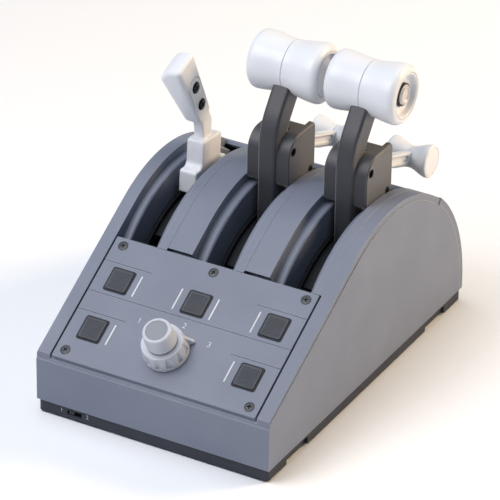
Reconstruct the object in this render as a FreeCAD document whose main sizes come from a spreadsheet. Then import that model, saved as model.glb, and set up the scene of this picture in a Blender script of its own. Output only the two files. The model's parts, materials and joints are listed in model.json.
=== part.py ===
"""Desktop throttle quadrant: speed brake lever, two thrust levers with reversers, panel.

Millimetres. +X is the pilot's right, +Y points away from the pilot, +Z is up.
The origin is on the floor under the middle of the case. Every lever turns on one
shaft whose axis is also the centre of the curved hump.
"""
import FreeCAD, Part
import math
import os
import Sketcher

Vector = FreeCAD.Vector
doc = FreeCAD.newDocument("throttle_quadrant")

# ---------------------------------------------------------------- driving sizes
SIZES = {
    # case
    "case_width": 160.0, "case_depth": 250.0, "wall": 2.5, "foot_height": 1.2,
    "base_top": 9.0, "base_inset": 0.9, "front_top": 37.0, "front_lip": 0.8,
    "slope": 30.0, "hump_radius": 99.0, "cover_step": 1.0, "cover_rim": 4.0,
    "cover_angle": 40.5, "pivot_back": 25.0, "pivot_height": 14.0,
    "band_depth": 0.5, "band_width": 4.0, "skirt_drop": 8.0,
    # lever gate
    "gate_half": 70.9, "gate_gap": 0.1, "gate_front": 45.0, "gate_rear": 39.0,
    "slot_pitch": 53.25, "slot_shift": -3.35, "slot_width": 30.5, "ledge_width": 6.25,
    "ledge_drop": 6.0, "gate_wall": 2.0, "gate_depth": 25.5, "end_wall": 1.5,
    "rib_strip": 5.8, "cover_inlay": 2.0, "edge_round": 1.5, "fine_gap": 0.2,
    "liner_skin": 1.4, "liner_slit": 14.0,
    # panel
    "panel_half": 69.6, "panel_length": 88.3, "panel_skin": 3.0,
    "seam_width": 0.5, "seam_depth": 0.5,
    "button_wide": 13.5, "button_long": 14.3, "button_rise": 1.0, "button_gap": 0.3,
    "button_travel": 1.2, "button_column": 53.3, "button_row_up": 59.7,
    "button_row_low": 23.8, "screw_head": 3.25, "screw_shank": 1.5, "screw_long": 5.5,
    "selector_x": -2.3, "selector_v": 24.2, "selector_rest": 40.0, "dial_radius": 14.2,
    "dial_high": 11.5, "knob_radius": 9.6, "knob_top_radius": 8.9, "knob_top": 24.0,
    "stem_radius": 3.0, "stem_grip": 5.0, "seam_top": 70.8, "seam_mid": 48.6, "seam_low": 34.9,
    "seam_break": 36.2, "panel_back": 0.8,
    # shaft and hubs
    "shaft_radius": 4.0, "running_gap": 0.05, "hub_radius": 8.6, "arm_width": 12.0,
    "arm_deep": 16.0, "bracket_skin": 5.0, "bracket_half": 12.0,
    # thrust levers
    "bend_height": 131.0, "arm_lean": 37.0, "grip_reach": 41.0, "grip_end": 19.4,
    "grip_waist": 17.3, "grip_half": 24.2, "grip_boss": 12.0, "dish_radius": 13.5,
    "dish_depth": 3.5, "grip_button": 6.2, "grip_collar": 7.2, "grip_travel": 1.2,
    "block_half": 14.8, "block_front": -6.8, "block_rear": 26.5, "block_top": 128.2,
    "block_bottom": 95.8, "block_round": 14.0, "block_wall": 3.6, "notch_front": 19.1, "bridge_front": 9.5,
    "block_shell": 1.2, "block_edge": 0.8, "block_corner": 1.6, "pin_sunk": 1.8,
    "reverse_pin_y": -1.2, "reverse_pin_z": 119.3, "reverse_pin": 1.5,
    "stop_pin_y": 20.8, "stop_pin_z": 98.2, "reverse_drop": 20.0,
    "reverse_reach": 88.5, "fork_skin": 2.0, "fork_length": 28.0, "fork_high": 6.0,
    "shank_high": 7.6, "shank_wide": 5.0, "knob_half": 14.3, "knob_end": 10.7,
    "knob_waist": 7.0,
    # speed brake lever
    "brake_lean": 4.8, "collar_half": 19.0, "collar_top": 91.0, "neck_half": 11.2,
    "neck_top": 109.0, "blade_wide": 6.8, "blade_deep": 10.6,
    "paddle_long": 43.0, "paddle_deep_top": 20.0, "paddle_deep_low": 15.0,
    "paddle_left_top": 13.5, "paddle_left_low": 5.5, "paddle_right": 4.0,
    # extras inside and below
    "inlet_x": 0.0, "inlet_z": 11.0, "tray_floor": 2.5, "tray_wall": 2.5, "insert_x": 55.0,
    "insert_y": 90.0, "insert_radius": 4.0, "insert_bore": 2.5, "insert_top": 11.0,
    "foot_radius": 7.0, "foot_x": 66.0, "foot_y": 108.0, "grip_recess_y": 89.0,
    "grip_recess_half": 13.0, "mode_x": -54.0, "mode_z": 5.3, "mode_travel": 4.0,
    "screw_column": 63.1, "screw_row_up": 83.1, "screw_row_low": 5.9,
    "button_flange": 1.0, "board_drop": 7.4, "knob_lift": 1.0, "cap_radius": 6.9, "cap_well": 2.6,
    "knob_bore": 3.6, "block_gap": 0.1, "pin_head": 3.0, "brake_screw": 2.4,
    "blade_foot_y": -2.6, "blade_low_y": -12.6, "blade_low_z": 134.6, "blade_angle": 31.5,
    "blade_screw_gap": 16.1, "bend_radius": 30.0, "arm_shift": -0.8,
    # screws that hold the base
    "post_x": 74.0, "post_y": 71.0, "post_radius": 3.6, "post_high": 16.0,
    "post_screw": 1.4, "post_head": 2.7, "post_head_high": 1.6, "post_sunk": 2.2,
    "post_long": 16.0,
    # dust shields
    "shield_radius": 70.0, "shield_skin": 1.4, "shield_half": 8.6, "shield_span": 38.0,
}

sheet = doc.addObject("Spreadsheet::Sheet", "Sizes")
for row, (alias, number) in enumerate(SIZES.items(), start=1):
    sheet.set("A%d" % row, alias)
    sheet.set("B%d" % row, str(number))
    sheet.setAlias("B%d" % row, alias)
doc.recompute()


class Size:
    """A number together with the sheet expression that it comes from."""

    def __init__(self, value, text):
        self.value = float(value)
        self.text = text

    @staticmethod
    def of(item):
        return item if isinstance(item, Size) else Size(item, "(%.6g)" % item)

    def join(self, other, sign, value):
        return Size(value, "(%s %s %s)" % (self.text, sign, Size.of(other).text))

    def __add__(self, other):
        return self.join(other, "+", self.value + Size.of(other).value)

    def __sub__(self, other):
        return self.join(other, "-", self.value - Size.of(other).value)

    def __mul__(self, other):
        return self.join(other, "*", self.value * Size.of(other).value)

    def __truediv__(self, other):
        return self.join(other, "/", self.value / Size.of(other).value)

    def __neg__(self):
        return Size(-self.value, "(0 - %s)" % self.text)

    def __radd__(self, other):
        return Size.of(other) + self

    def __rsub__(self, other):
        return Size.of(other) - self

    def __rmul__(self, other):
        return Size.of(other) * self


def size(alias):
    return Size(SIZES[alias], "Sizes.%s" % alias)


def sine(angle):
    angle = Size.of(angle)
    return Size(math.sin(math.radians(angle.value)), "sin(%s)" % angle.text)


def cosine(angle):
    angle = Size.of(angle)
    return Size(math.cos(math.radians(angle.value)), "cos(%s)" % angle.text)


def tangent(angle):
    angle = Size.of(angle)
    return Size(math.tan(math.radians(angle.value)), "tan(%s)" % angle.text)


def root(amount):
    amount = Size.of(amount)
    return Size(math.sqrt(amount.value), "sqrt(%s)" % amount.text)


# ---------------------------------------------------------------- sketch helpers
NODES = []
PLANES = {"XY": "XY_Plane", "XZ": "XZ_Plane", "YZ": "YZ_Plane"}


def bind(thing, prop, amount):
    """Tie one property of an object to the sheet."""
    thing.setExpression(prop, Size.of(amount).text)


def place(thing, x=0.0, y=0.0, z=0.0, turn=None, about=(1, 0, 0)):
    """Put a finished piece in the case: a shift and a turn about one axis."""
    angle = Size.of(turn or 0.0)
    rotation = FreeCAD.Rotation(Vector(*about), angle.value)
    shift = [Size.of(part) for part in (x, y, z)]
    thing.Placement = FreeCAD.Placement(Vector(*[part.value for part in shift]), rotation)
    for axis, part in zip("xyz", shift):
        bind(thing, "Placement.Base." + axis, part)
    if turn is not None:
        bind(thing, "Placement.Rotation.Angle", angle)


def body(name):
    made = doc.addObject("PartDesign::Body", name)
    made.Label = name
    NODES.append(made)
    return made


def group(name, pieces):
    """Several loose pieces of one kind as one part."""
    made = doc.addObject("Part::Compound", name)
    made.Label = name
    made.Links = pieces
    NODES.append(made)
    return made


def on_side(near, far, side):
    """Two levels at these distances on the right (1) or the left (-1), the lower first."""
    ends = (Size.of(near) * side, Size.of(far) * side)
    return ends if side > 0 else ends[::-1]


def arc_middle(start, end, radius):
    """A point in the middle of the arc from start to end; radius > 0 turns left."""
    chord = end - start
    half = chord.Length / 2
    reach = math.sqrt(max(radius * radius - half * half, 0.0))
    left = Vector(-chord.y, chord.x, 0).normalize()
    side = 1.0 if radius > 0 else -1.0
    centre = (start + end) * 0.5 + left * (side * reach)
    return centre - left * (side * abs(radius))


def draw_loop(sketch, loop):
    """Draw one closed loop. A point is (x, y), or (x, y, radius) for an arc that ends there.

    A loop of ("circle", x, y, radius) is a full circle.
    """
    if loop[0] == "circle":
        x, y, radius = [Size.of(part) for part in loop[1:]]
        ring = sketch.addGeometry(Part.Circle(Vector(x.value, y.value, 0), Vector(0, 0, 1),
                                              radius.value))
        for kind, amount in (("DistanceX", x), ("DistanceY", y)):
            fix = sketch.addConstraint(Sketcher.Constraint(kind, -1, 1, ring, 3, amount.value))
            sketch.setExpression("Constraints[%d]" % fix, amount.text)
        fix = sketch.addConstraint(Sketcher.Constraint("Radius", ring, radius.value))
        sketch.setExpression("Constraints[%d]" % fix, radius.text)
        return
    points = [tuple(Size.of(part) for part in point) for point in loop]
    spots = [Vector(point[0].value, point[1].value, 0) for point in points]
    edges = []
    for index, point in enumerate(points):
        start = spots[index - 1]
        end = spots[index]
        if len(point) == 3:
            middle = arc_middle(start, end, point[2].value)
            shape = Part.Arc(start, middle, end)
            edge = sketch.addGeometry(shape)
            turns_left = point[2].value > 0
            edges.append((edge, 1 if turns_left else 2, 2 if turns_left else 1))
            size_here = point[2] if turns_left else -point[2]
            fix = sketch.addConstraint(Sketcher.Constraint("Radius", edge, size_here.value))
            sketch.setExpression("Constraints[%d]" % fix, size_here.text)
        else:
            edges.append((sketch.addGeometry(Part.LineSegment(start, end)), 1, 2))
    for index, (edge, first, last) in enumerate(edges):
        follower = edges[(index + 1) % len(edges)]
        sketch.addConstraint(Sketcher.Constraint("Coincident", edge, last,
                                                 follower[0], follower[1]))
        for kind, amount in (("DistanceX", points[index][0]), ("DistanceY", points[index][1])):
            fix = sketch.addConstraint(Sketcher.Constraint(kind, -1, 1, edge, last,
                                                           amount.value))
            sketch.setExpression("Constraints[%d]" % fix, amount.text)


def draw(owner, plane, loops, offset=0.0, tilt=None, shift=(0.0, 0.0)):
    """A sketch on one of the body's own planes, moved along its normal by offset."""
    role = PLANES[plane]
    base = [item for item in owner.Origin.OriginFeatures if item.Role == role][0]
    sketch = owner.newObject("Sketcher::SketchObject", owner.Name + "_sketch")
    sketch.AttachmentSupport = [(base, "")]
    sketch.MapMode = "FlatFace"
    offset = Size.of(offset)
    turn = Size.of(tilt or 0.0)
    across, along = [Size.of(part) for part in shift]
    sketch.AttachmentOffset = FreeCAD.Placement(
        Vector(across.value, along.value, offset.value),
        FreeCAD.Rotation(Vector(1, 0, 0), turn.value))
    for axis, part in (("x", across), ("y", along), ("z", offset)):
        sketch.setExpression("AttachmentOffset.Base." + axis, part.text)
    if tilt is not None:
        sketch.setExpression("AttachmentOffset.Rotation.Angle", turn.text)
    for loop in loops:
        draw_loop(sketch, loop)
    return sketch


def pad(owner, plane, loops, low, high, **where):
    """Add material between two levels along the plane's normal."""
    made = owner.newObject("PartDesign::Pad", owner.Name + "_pad")
    made.Profile = draw(owner, plane, loops, low, **where)
    bind(made, "Length", Size.of(high) - low)
    owner.Tip = made
    return made


def pocket(owner, plane, loops, low, high, **where):
    """Cut material between two levels along the plane's normal."""
    made = owner.newObject("PartDesign::Pocket", owner.Name + "_pocket")
    made.Profile = draw(owner, plane, loops, high, **where)
    bind(made, "Length", Size.of(high) - low)
    owner.Tip = made
    return made


def revolve(owner, plane, loops, axis, angle=360.0, kind="PartDesign::Revolution", **where):
    """Turn a section about the sketch's own horizontal or vertical axis."""
    made = owner.newObject(kind, owner.Name + "_turned")
    sketch = draw(owner, plane, loops, **where)
    made.Profile = sketch
    made.ReferenceAxis = (sketch, [axis])
    bind(made, "Angle", angle)
    owner.Tip = made
    return made


def rectangle(left, low, right, high):
    return [(left, low), (right, low), (right, high), (left, high)]


def rounded(left, low, right, high, radius):
    """A rectangle with round corners."""
    left, low, right, high = [Size.of(part) for part in (left, low, right, high)]
    return [(left, low + radius), (left + radius, low, radius), (right - radius, low),
            (right, low + radius, radius), (right, high - radius),
            (right - radius, high, radius), (left + radius, high),
            (left, high - radius, radius)]


def polar(radius, angle):
    """A point at a radius from the pivot; angle from straight up, + away from the pilot."""
    return radius * sine(angle), radius * cosine(angle)


def sector(inner, outer, front, rear):
    """A band round the pivot between two radii and two angles, seen from the right."""
    inner, outer = Size.of(inner), Size.of(outer)
    corner = polar(inner, front)
    crest = polar(outer, rear)
    return [(corner[0], corner[1], inner), polar(outer, front),
            (crest[0], crest[1], -outer), polar(inner, rear)]


# ---------------------------------------------------------------- shared places
half_width = size("case_width") / 2
half_depth = size("case_depth") / 2
wall = size("wall")
slope = size("slope")
hump = size("hump_radius")
pivot_y = size("pivot_back")
pivot_z = size("pivot_height")
base_top = size("base_top")
rear_radius = hump + size("cover_step")
rim_radius = rear_radius - size("cover_rim")
cover_angle = size("cover_angle")
slot_centres = [size("slot_shift") + size("slot_pitch") * step for step in (-1, 0, 1)]


def slope_point(inset, y):
    """Height above the pivot of the sloping front, sunk by inset, at y from the pivot."""
    return (hump - inset) / cosine(slope) + tangent(slope) * y


def slope_at(inset, angle):
    """A point of the sloping front, sunk by inset, at an angle ahead of straight up."""
    reach = (hump - inset) / cosine(Size.of(angle) - slope)
    return polar(reach, -Size.of(angle))


front_y = -half_depth - pivot_y
floor_z = base_top - pivot_z
panel_y = size("panel_back") - half_depth
panel_z = pivot_z + slope_point(0, panel_y - pivot_y)
button_spots = [(size("button_column") * column, size("button_row_up"))
                for column in (-1, 0, 1)]
button_spots += [(size("button_column") * column, size("button_row_low"))
                 for column in (-1, 1)]
screw_spots = [(size("screw_column") * column, size("screw_row_up")) for column in (-1, 0, 1)]
screw_spots += [(size("screw_column") * column, size("screw_row_low")) for column in (-1, 1)]


post_spots = [(size("post_x") * across, size("post_y") * along)
              for across in (-1, 1) for along in (-1, 1)]


# ---------------------------------------------------------------- the case
def outer_housing():
    """Front wall, sides and roof in one moulding, open below and behind."""
    shell = body("outer_housing")
    front_top = size("front_top") - pivot_z
    lip_y = front_y + size("front_lip")
    crest = polar(hump, cover_angle)
    outline = [(front_y, floor_z), (front_y, front_top),
               (lip_y, front_top + size("front_lip")), (lip_y, slope_point(0, lip_y)),
               polar(hump, -slope), (crest[0], crest[1], -hump),
               polar(rim_radius, cover_angle), (rim_radius, 0, -rim_radius),
               (rim_radius, floor_z)]
    pad(shell, "YZ", [outline], -half_width, half_width)
    inside = hump - wall
    beyond = rear_radius + 2
    inner_y = lip_y + wall
    crest = polar(inside, cover_angle)
    hollow = [(inner_y, floor_z - 1), (inner_y, slope_point(wall, inner_y)),
              polar(inside, -slope), (crest[0], crest[1], -inside),
              polar(beyond, cover_angle), (beyond, 0, -beyond), (beyond, floor_z - 1)]
    pocket(shell, "YZ", [hollow], wall - half_width, half_width - wall)
    # skirts that hang from the two rails beside the lever gate
    rear = size("gate_rear")
    low = inside - size("skirt_drop")
    rail = size("gate_half") + size("gate_gap")
    crest = polar(inside + 1, rear)
    foot = polar(low, -slope)
    skirt = [(inner_y - 1, slope_point(wall - 1, inner_y - 1)), polar(inside + 1, -slope),
             (crest[0], crest[1], -(inside + 1)), polar(low, rear), (foot[0], foot[1], low),
             (inner_y - 1, slope_point(wall + size("skirt_drop"), inner_y - 1))]
    for side in (-1, 1):
        pad(shell, "YZ", [skirt], *on_side(rail, rail + 2, side))
    # the opening that the panel and the gate drop into
    seat = size("panel_skin")
    gate_front = size("gate_front")
    deep = hump - size("gate_depth") - 2
    past = hump + 6
    corner = polar(deep, rear)
    opening = [(front_y - 1, slope_point(seat, front_y - 1)), slope_at(seat, gate_front),
               polar(deep, -gate_front), (corner[0], corner[1], -deep), polar(past, rear),
               (polar(past, -slope)[0], polar(past, -slope)[1], past),
               (front_y - 1, slope_point(-6, front_y - 1))]
    pocket(shell, "YZ", [opening], -rail, rail)
    # frame that the panel rests on, with a window for the switches
    front_seat = inner_y - wall + 0.5
    rest = [(front_seat, slope_point(seat, front_seat)), slope_at(seat, gate_front),
            slope_at(seat + 2, gate_front), (front_seat, slope_point(seat + 2, front_seat))]
    pad(shell, "YZ", [rest], -(rail + 1), rail + 1)
    near_y, far_y = front_y + 12, slope_at(seat, gate_front)[0] - 8
    window = [(near_y, slope_point(seat - 1, near_y)), (far_y, slope_point(seat - 1, far_y)),
              (far_y, slope_point(seat + 4, far_y)), (near_y, slope_point(seat + 4, near_y))]
    pocket(shell, "YZ", [window], 8 - rail, rail - 8)
    # posts that the screws of the base are driven into
    posts = [("circle", x, y - pivot_y, size("post_radius")) for x, y in post_spots]
    post_top = floor_z + size("post_high")
    pad(shell, "XY", posts, floor_z, post_top)
    pilots = [("circle", x, y - pivot_y, size("post_screw") + 0.02) for x, y in post_spots]
    pocket(shell, "XY", pilots, floor_z - 1, post_top - 2)
    tapped = [("circle", u, v, size("screw_shank") + 0.02) for u, v in screw_spots]
    top = panel_z - pivot_z
    pocket(shell, "XY", tapped, top - 8, top, tilt=slope, shift=(0, panel_y - pivot_y))
    # a shallow step follows the edge of each side
    sunk = hump - size("band_width")
    out = hump + 3
    crest = polar(sunk, cover_angle)
    back = polar(out, -slope)
    band = [(front_y - 2, slope_point(1, front_y - 2)), polar(sunk, -slope),
            (crest[0], crest[1], -sunk), polar(out, cover_angle), (back[0], back[1], out),
            (front_y - 2, slope_point(-3, front_y - 2))]
    step = half_width - size("band_depth")
    pocket(shell, "YZ", [band], step, half_width + 1)
    pocket(shell, "YZ", [band], -half_width - 1, -step)
    place(shell, 0, pivot_y, pivot_z)
    return shell


def rear_cover():
    """Curved back of the case, a step proud of the roof."""
    cover = body("rear_cover")
    crest = polar(rear_radius, cover_angle)
    start = polar(rim_radius, cover_angle)
    outline = [(start[0], start[1], rim_radius), crest, (rear_radius, 0, -rear_radius),
               (rear_radius, floor_z), (rim_radius, floor_z), (rim_radius, 0)]
    pad(cover, "YZ", [outline], -half_width, half_width)
    under = rear_radius - wall
    begin = polar(rim_radius - 1, cover_angle + 2)
    relief = [(begin[0], begin[1], rim_radius - 1), polar(under, cover_angle + 2),
              (under, 0, -under), (under, floor_z - 1), (rim_radius - 1, floor_z - 1),
              (rim_radius - 1, 0)]
    pocket(cover, "YZ", [relief], wall - half_width, half_width - wall)
    socket = rounded(size("inlet_x") - 5, size("inlet_z") - 2, size("inlet_x") + 5,
                     size("inlet_z") + 2, 1.8)
    pocket(cover, "XZ", [socket], -(rear_radius + 2), 4 - rim_radius)
    place(cover, 0, pivot_y, pivot_z)


def base_tray():
    """Dark base moulding that the case sits on, with grip recesses in its sides."""
    tray = body("base_tray")
    inset = size("base_inset")
    wide, deep = half_width - inset, half_depth - inset
    foot = size("foot_height")
    floor = size("tray_floor")
    pad(tray, "XY", [rounded(-wide, -deep, wide, deep, 2.0)], foot, base_top)
    thick = size("tray_wall")
    pocket(tray, "XY", [rounded(thick - wide, thick - deep, wide - thick, deep - thick, 1.0)],
           foot + floor, base_top + 1)
    # bosses that hold the threaded inserts
    bosses = [("circle", size("insert_x") * across, size("insert_y") * along, 6.0)
              for across in (-1, 1) for along in (-1, 1)]
    pad(tray, "XY", bosses, foot, size("insert_top"))
    holes = [("circle", loop[1], loop[2], size("insert_radius")) for loop in bosses]
    pocket(tray, "XY", holes, foot - 1, size("insert_top") - 1)
    posts = [("circle", x, y, size("post_radius")) for x, y in post_spots]
    pad(tray, "XY", posts, foot, base_top)
    shanks = [("circle", x, y, size("post_screw") + 0.1) for x, y in post_spots]
    pocket(tray, "XY", shanks, foot - 1, base_top + 1)
    sinks = [("circle", x, y, size("post_head") + 0.1) for x, y in post_spots]
    pocket(tray, "XY", sinks, foot - 1, foot + size("post_sunk"))
    low, high = foot - 1, base_top - 2.2
    for across in (-1, 1):
        for along in (-1, 1):
            middle = size("grip_recess_y") * along
            half = size("grip_recess_half")
            recess = [(middle - half, low), (middle + half, low), (middle + half, high - 1.5),
                      (middle + half - 1.5, high, 1.5), (middle - half + 1.5, high),
                      (middle - half, high - 1.5, 1.5)]
            pocket(tray, "YZ", [recess], *on_side(wide - 2, wide + 1, across))
    slot = size("mode_x")
    mouth = rectangle(slot - 5, size("mode_z") - 1.6, slot + 5, size("mode_z") + 1.6)
    pocket(tray, "XZ", [mouth], deep - thick - 1, deep + 1)


def lever_gate():
    """Four hat-section ribs turned round the shaft axis, with ledges beside the slots."""
    edge = size("gate_half")
    half_slot = size("slot_width") / 2
    ledge = size("ledge_width")
    thick = size("gate_wall")
    low = hump - size("gate_depth")
    shelf = hump - size("ledge_drop")
    turn = size("edge_round")
    front, rear = size("gate_front"), size("gate_rear")
    sweep = front + rear

    def right_side(centre, top_edge):
        """The side of a slot away from the left: wall, rounded ledge, then the rib's edge."""
        mouth = centre + half_slot - ledge
        shoulder = centre + half_slot
        return [(mouth, low), (mouth, shelf - turn), (mouth + turn, shelf, -turn),
                (shoulder, shelf), (shoulder, top_edge)]

    def left_side(centre, top_edge):
        mouth = centre - half_slot + ledge
        shoulder = centre - half_slot
        return [(shoulder, top_edge), (shoulder, shelf), (mouth - turn, shelf),
                (mouth, shelf - turn, -turn), (mouth, low)]

    def rib(left, right):
        """One rib between two slots; its right part is sunk for the cover strip."""
        a = left + half_slot
        b = right - half_slot
        sunk = hump - size("cover_inlay")
        strip = a + size("rib_strip")
        top = right_side(left, hump) + [(strip, hump), (strip, sunk)] + left_side(right, sunk)
        mouth_a, mouth_b = a - ledge, b + ledge
        roof = hump - size("cover_inlay") - thick
        under = [(mouth_b - thick, low), (mouth_b - thick, shelf - thick),
                 (b - thick, shelf - thick), (b - thick, roof), (a + thick, roof),
                 (a + thick, shelf - thick), (mouth_a + thick, shelf - thick),
                 (mouth_a + thick, low)]
        return top + under

    first, second, third = slot_centres
    mouth = first - half_slot + ledge
    foot = hump - wall - size("skirt_drop")
    left_border = [(-edge, foot), (-edge, shelf), (mouth - turn, shelf),
                   (mouth, shelf - turn, -turn), (mouth, low), (mouth - thick, low),
                   (mouth - thick, shelf - thick), (thick - edge, shelf - thick),
                   (thick - edge, foot)]
    mouth = third + half_slot - ledge
    right_border = right_side(third, hump) + [
        (edge, hump), (edge, foot), (edge - thick, foot), (edge - thick, hump - thick),
        (third + half_slot + thick, hump - thick), (third + half_slot + thick, shelf - thick),
        (mouth + thick, shelf - thick), (mouth + thick, low)]
    # ahead of the hump the top of a rib follows the straight slope
    start = polar(hump - 1, -front)
    ramp = [(start[0], start[1], hump - 1), slope_at(0, front), polar(hump, -slope),
            polar(hump - 1, -slope)]
    strip = size("rib_strip")
    ribs = []
    for index, (section, ramp_x, ramp_wide) in enumerate((
            (left_border, None, None),
            (rib(first, second), first + half_slot, strip),
            (rib(second, third), second + half_slot, strip),
            (right_border, third + half_slot, edge - third - half_slot))):
        rail = doc.addObject("PartDesign::Body", "gate_rib_%d" % index)
        turned = revolve(rail, "XY", [section], "H_Axis", sweep, tilt=90.0 + front)
        turned.Reversed = True
        if ramp_x is not None:
            pad(rail, "YZ", [ramp], ramp_x, ramp_x + ramp_wide)
        place(rail, 0, pivot_y, pivot_z)
        ribs.append(rail)
    group("lever_gate", ribs)


def rib_cover(name, left, right):
    """Strip that closes the top of a rib, set into it."""
    strip = body(name)
    low_x = left + size("slot_width") / 2 + size("rib_strip") + size("fine_gap")
    high_x = right - size("slot_width") / 2
    inner = hump - size("cover_inlay") + size("running_gap")
    front = size("gate_front") - 1
    rear = size("gate_rear")
    crest = polar(hump, rear)
    start = polar(inner, -front)
    outline = [(start[0], start[1], inner), slope_at(0, front), polar(hump, -slope),
               (crest[0], crest[1], -hump), polar(inner, rear)]
    pad(strip, "YZ", [outline], low_x, high_x)
    place(strip, 0, pivot_y, pivot_z)


def gate_liner():
    """A black pan in each slot, between the ribs, slit along its floor for the arm."""
    outer = hump - size("gate_depth") - size("running_gap")
    inner = outer - size("liner_skin")
    top = hump - size("ledge_drop") - 1
    front, rear = -size("gate_front"), size("gate_rear")
    thick = size("end_wall")
    half = size("slot_width") / 2 - size("ledge_width") - size("running_gap")
    slit = size("liner_slit") / 2
    corners = [polar(radius, angle) for radius, angle in (
        (top, front + thick), (outer, rear - thick), (top, rear), (inner, front))]
    section = [polar(inner, rear), (corners[3][0], corners[3][1], inner), polar(top, front),
               (corners[0][0], corners[0][1], -top), polar(outer, front + thick),
               (corners[1][0], corners[1][1], -outer), polar(top, rear - thick),
               (corners[2][0], corners[2][1], -top)]
    pans = []
    for index, centre in enumerate(slot_centres):
        pan = doc.addObject("PartDesign::Body", "slot_pan_%d" % index)
        pad(pan, "YZ", [section], centre - half, centre + half)
        cut = sector(inner - 2, outer + 0.5, front + thick * 2, rear - thick * 2)
        pocket(pan, "YZ", [cut], centre - slit, centre + slit)
        place(pan, 0, pivot_y, pivot_z)
        pans.append(pan)
    group("gate_liner", pans)


# ---------------------------------------------------------------- the panel
def on_panel(piece, u=0.0, v=0.0, w=0.0):
    """Place a piece that was drawn flat: u across, v up the slope, w out of the panel."""
    u, v, w = [Size.of(part) for part in (u, v, w)]
    place(piece, u, panel_y + v * cosine(slope) - w * sine(slope),
          panel_z + v * sine(slope) + w * cosine(slope), turn=slope)


def control_panel():
    """Flat plate with square windows, sunk screw holes and engraved lines."""
    plate = body("control_panel")
    half = size("panel_half")
    long = size("panel_length")
    skin = size("panel_skin")
    pad(plate, "XY", [rounded(-half, 0, half, long, 0.8)], -skin, 0)
    gap = size("button_gap")
    windows = [rounded(u - size("button_wide") / 2 - gap, v - size("button_long") / 2 - gap,
                       u + size("button_wide") / 2 + gap, v + size("button_long") / 2 + gap,
                       1.4) for u, v in button_spots]
    windows.append(("circle", size("selector_x"), size("selector_v"),
                    size("stem_radius") + 2.0))
    pocket(plate, "XY", windows, -skin - 1, 1)
    head = size("screw_head") + 0.1
    shank = size("screw_shank") + 0.1
    for u, v in screw_spots:
        sink = [(0, 0.5), (head, 0.5), (head, 0), (shank, shank - head), (shank, -skin - 1),
                (0, -skin - 1)]
        revolve(plate, "XZ", [sink], "V_Axis", kind="PartDesign::Groove", offset=-v,
                shift=(u, 0))
    line = size("seam_width") / 2
    deep = size("seam_depth")
    low, mid, high = size("seam_low"), size("seam_mid"), size("seam_top")
    gap_half = size("seam_break")
    lines = [rectangle(-half - 1, level - line, -gap_half, level + line)
             for level in (low, high)]
    lines += [rectangle(gap_half, level - line, half + 1, level + line)
              for level in (low, high)]
    lines.append(rectangle(-half - 1, mid - line, half + 1, mid + line))
    pocket(plate, "XY", lines, -deep, 1)
    on_panel(plate)


def panel_screws():
    """Five countersunk cross-head screws as one group."""
    heads = []
    for index, (u, v) in enumerate(screw_spots):
        turned = doc.addObject("Part::Cone", "screw_head_%d" % index)
        bind(turned, "Radius1", size("screw_shank"))
        bind(turned, "Radius2", size("screw_head"))
        bind(turned, "Height", size("screw_head") - size("screw_shank"))
        place_flat(turned, u, v, size("screw_shank") - size("screw_head"))
        rod = doc.addObject("Part::Cylinder", "screw_rod_%d" % index)
        bind(rod, "Radius", size("screw_shank"))
        bind(rod, "Height", size("screw_long"))
        place_flat(rod, u, v, size("screw_shank") - size("screw_head") - size("screw_long"))
        whole = doc.addObject("Part::Fuse", "screw_%d" % index)
        whole.Base, whole.Tool = turned, rod
        heads.append(whole)
    on_panel(group("panel_screws", heads))


def place_flat(piece, u, v, w):
    """Shift a primitive inside the panel's own flat frame."""
    shift = [Size.of(part) for part in (u, v, w)]
    piece.Placement = FreeCAD.Placement(Vector(*[part.value for part in shift]),
                                        FreeCAD.Rotation())
    for axis, part in zip("xyz", shift):
        bind(piece, "Placement.Base." + axis, part)


def panel_button(index, u, v):
    """A square key: its flange is caught under the panel."""
    key = body("panel_button_%d" % index)
    wide, long = size("button_wide") / 2, size("button_long") / 2
    skin = size("panel_skin")
    pad(key, "XY", [rounded(-wide, -long, wide, long, 1.2)], -skin - 1, size("button_rise"))
    flange = size("button_flange")
    pad(key, "XY", [rounded(-wide - flange, -long - flange, wide + flange, long + flange,
                            1.0)], -skin - size("button_gap") - 1.2,
        -skin - size("button_gap"))
    pad(key, "XY", [("circle", 0, 0, 2.0)], -skin - 4.0, -skin - 1.0)
    on_panel(key, u, v)


def button_board():
    """Circuit board behind the panel with a key switch soldered below each button."""
    board = body("button_board")
    skin = size("panel_skin")
    top = -skin - size("board_drop")
    pad(board, "XY", [rounded(-62, 13, 62, 74, 1.0)], top - 1.6, top)
    pocket(board, "XY", [rounded(size("selector_x") - 8, size("selector_v") - 8,
                                 size("selector_x") + 8, size("selector_v") + 8, 1)],
           top - 3, top + 1)
    high = size("board_drop") - 4.0 - size("button_travel") - 0.2
    keys = [rectangle(u - 3, v - 3, u + 3, v + 3) for u, v in button_spots]
    pad(board, "XY", keys, top - 0.5, top + high)
    on_panel(board)


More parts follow.
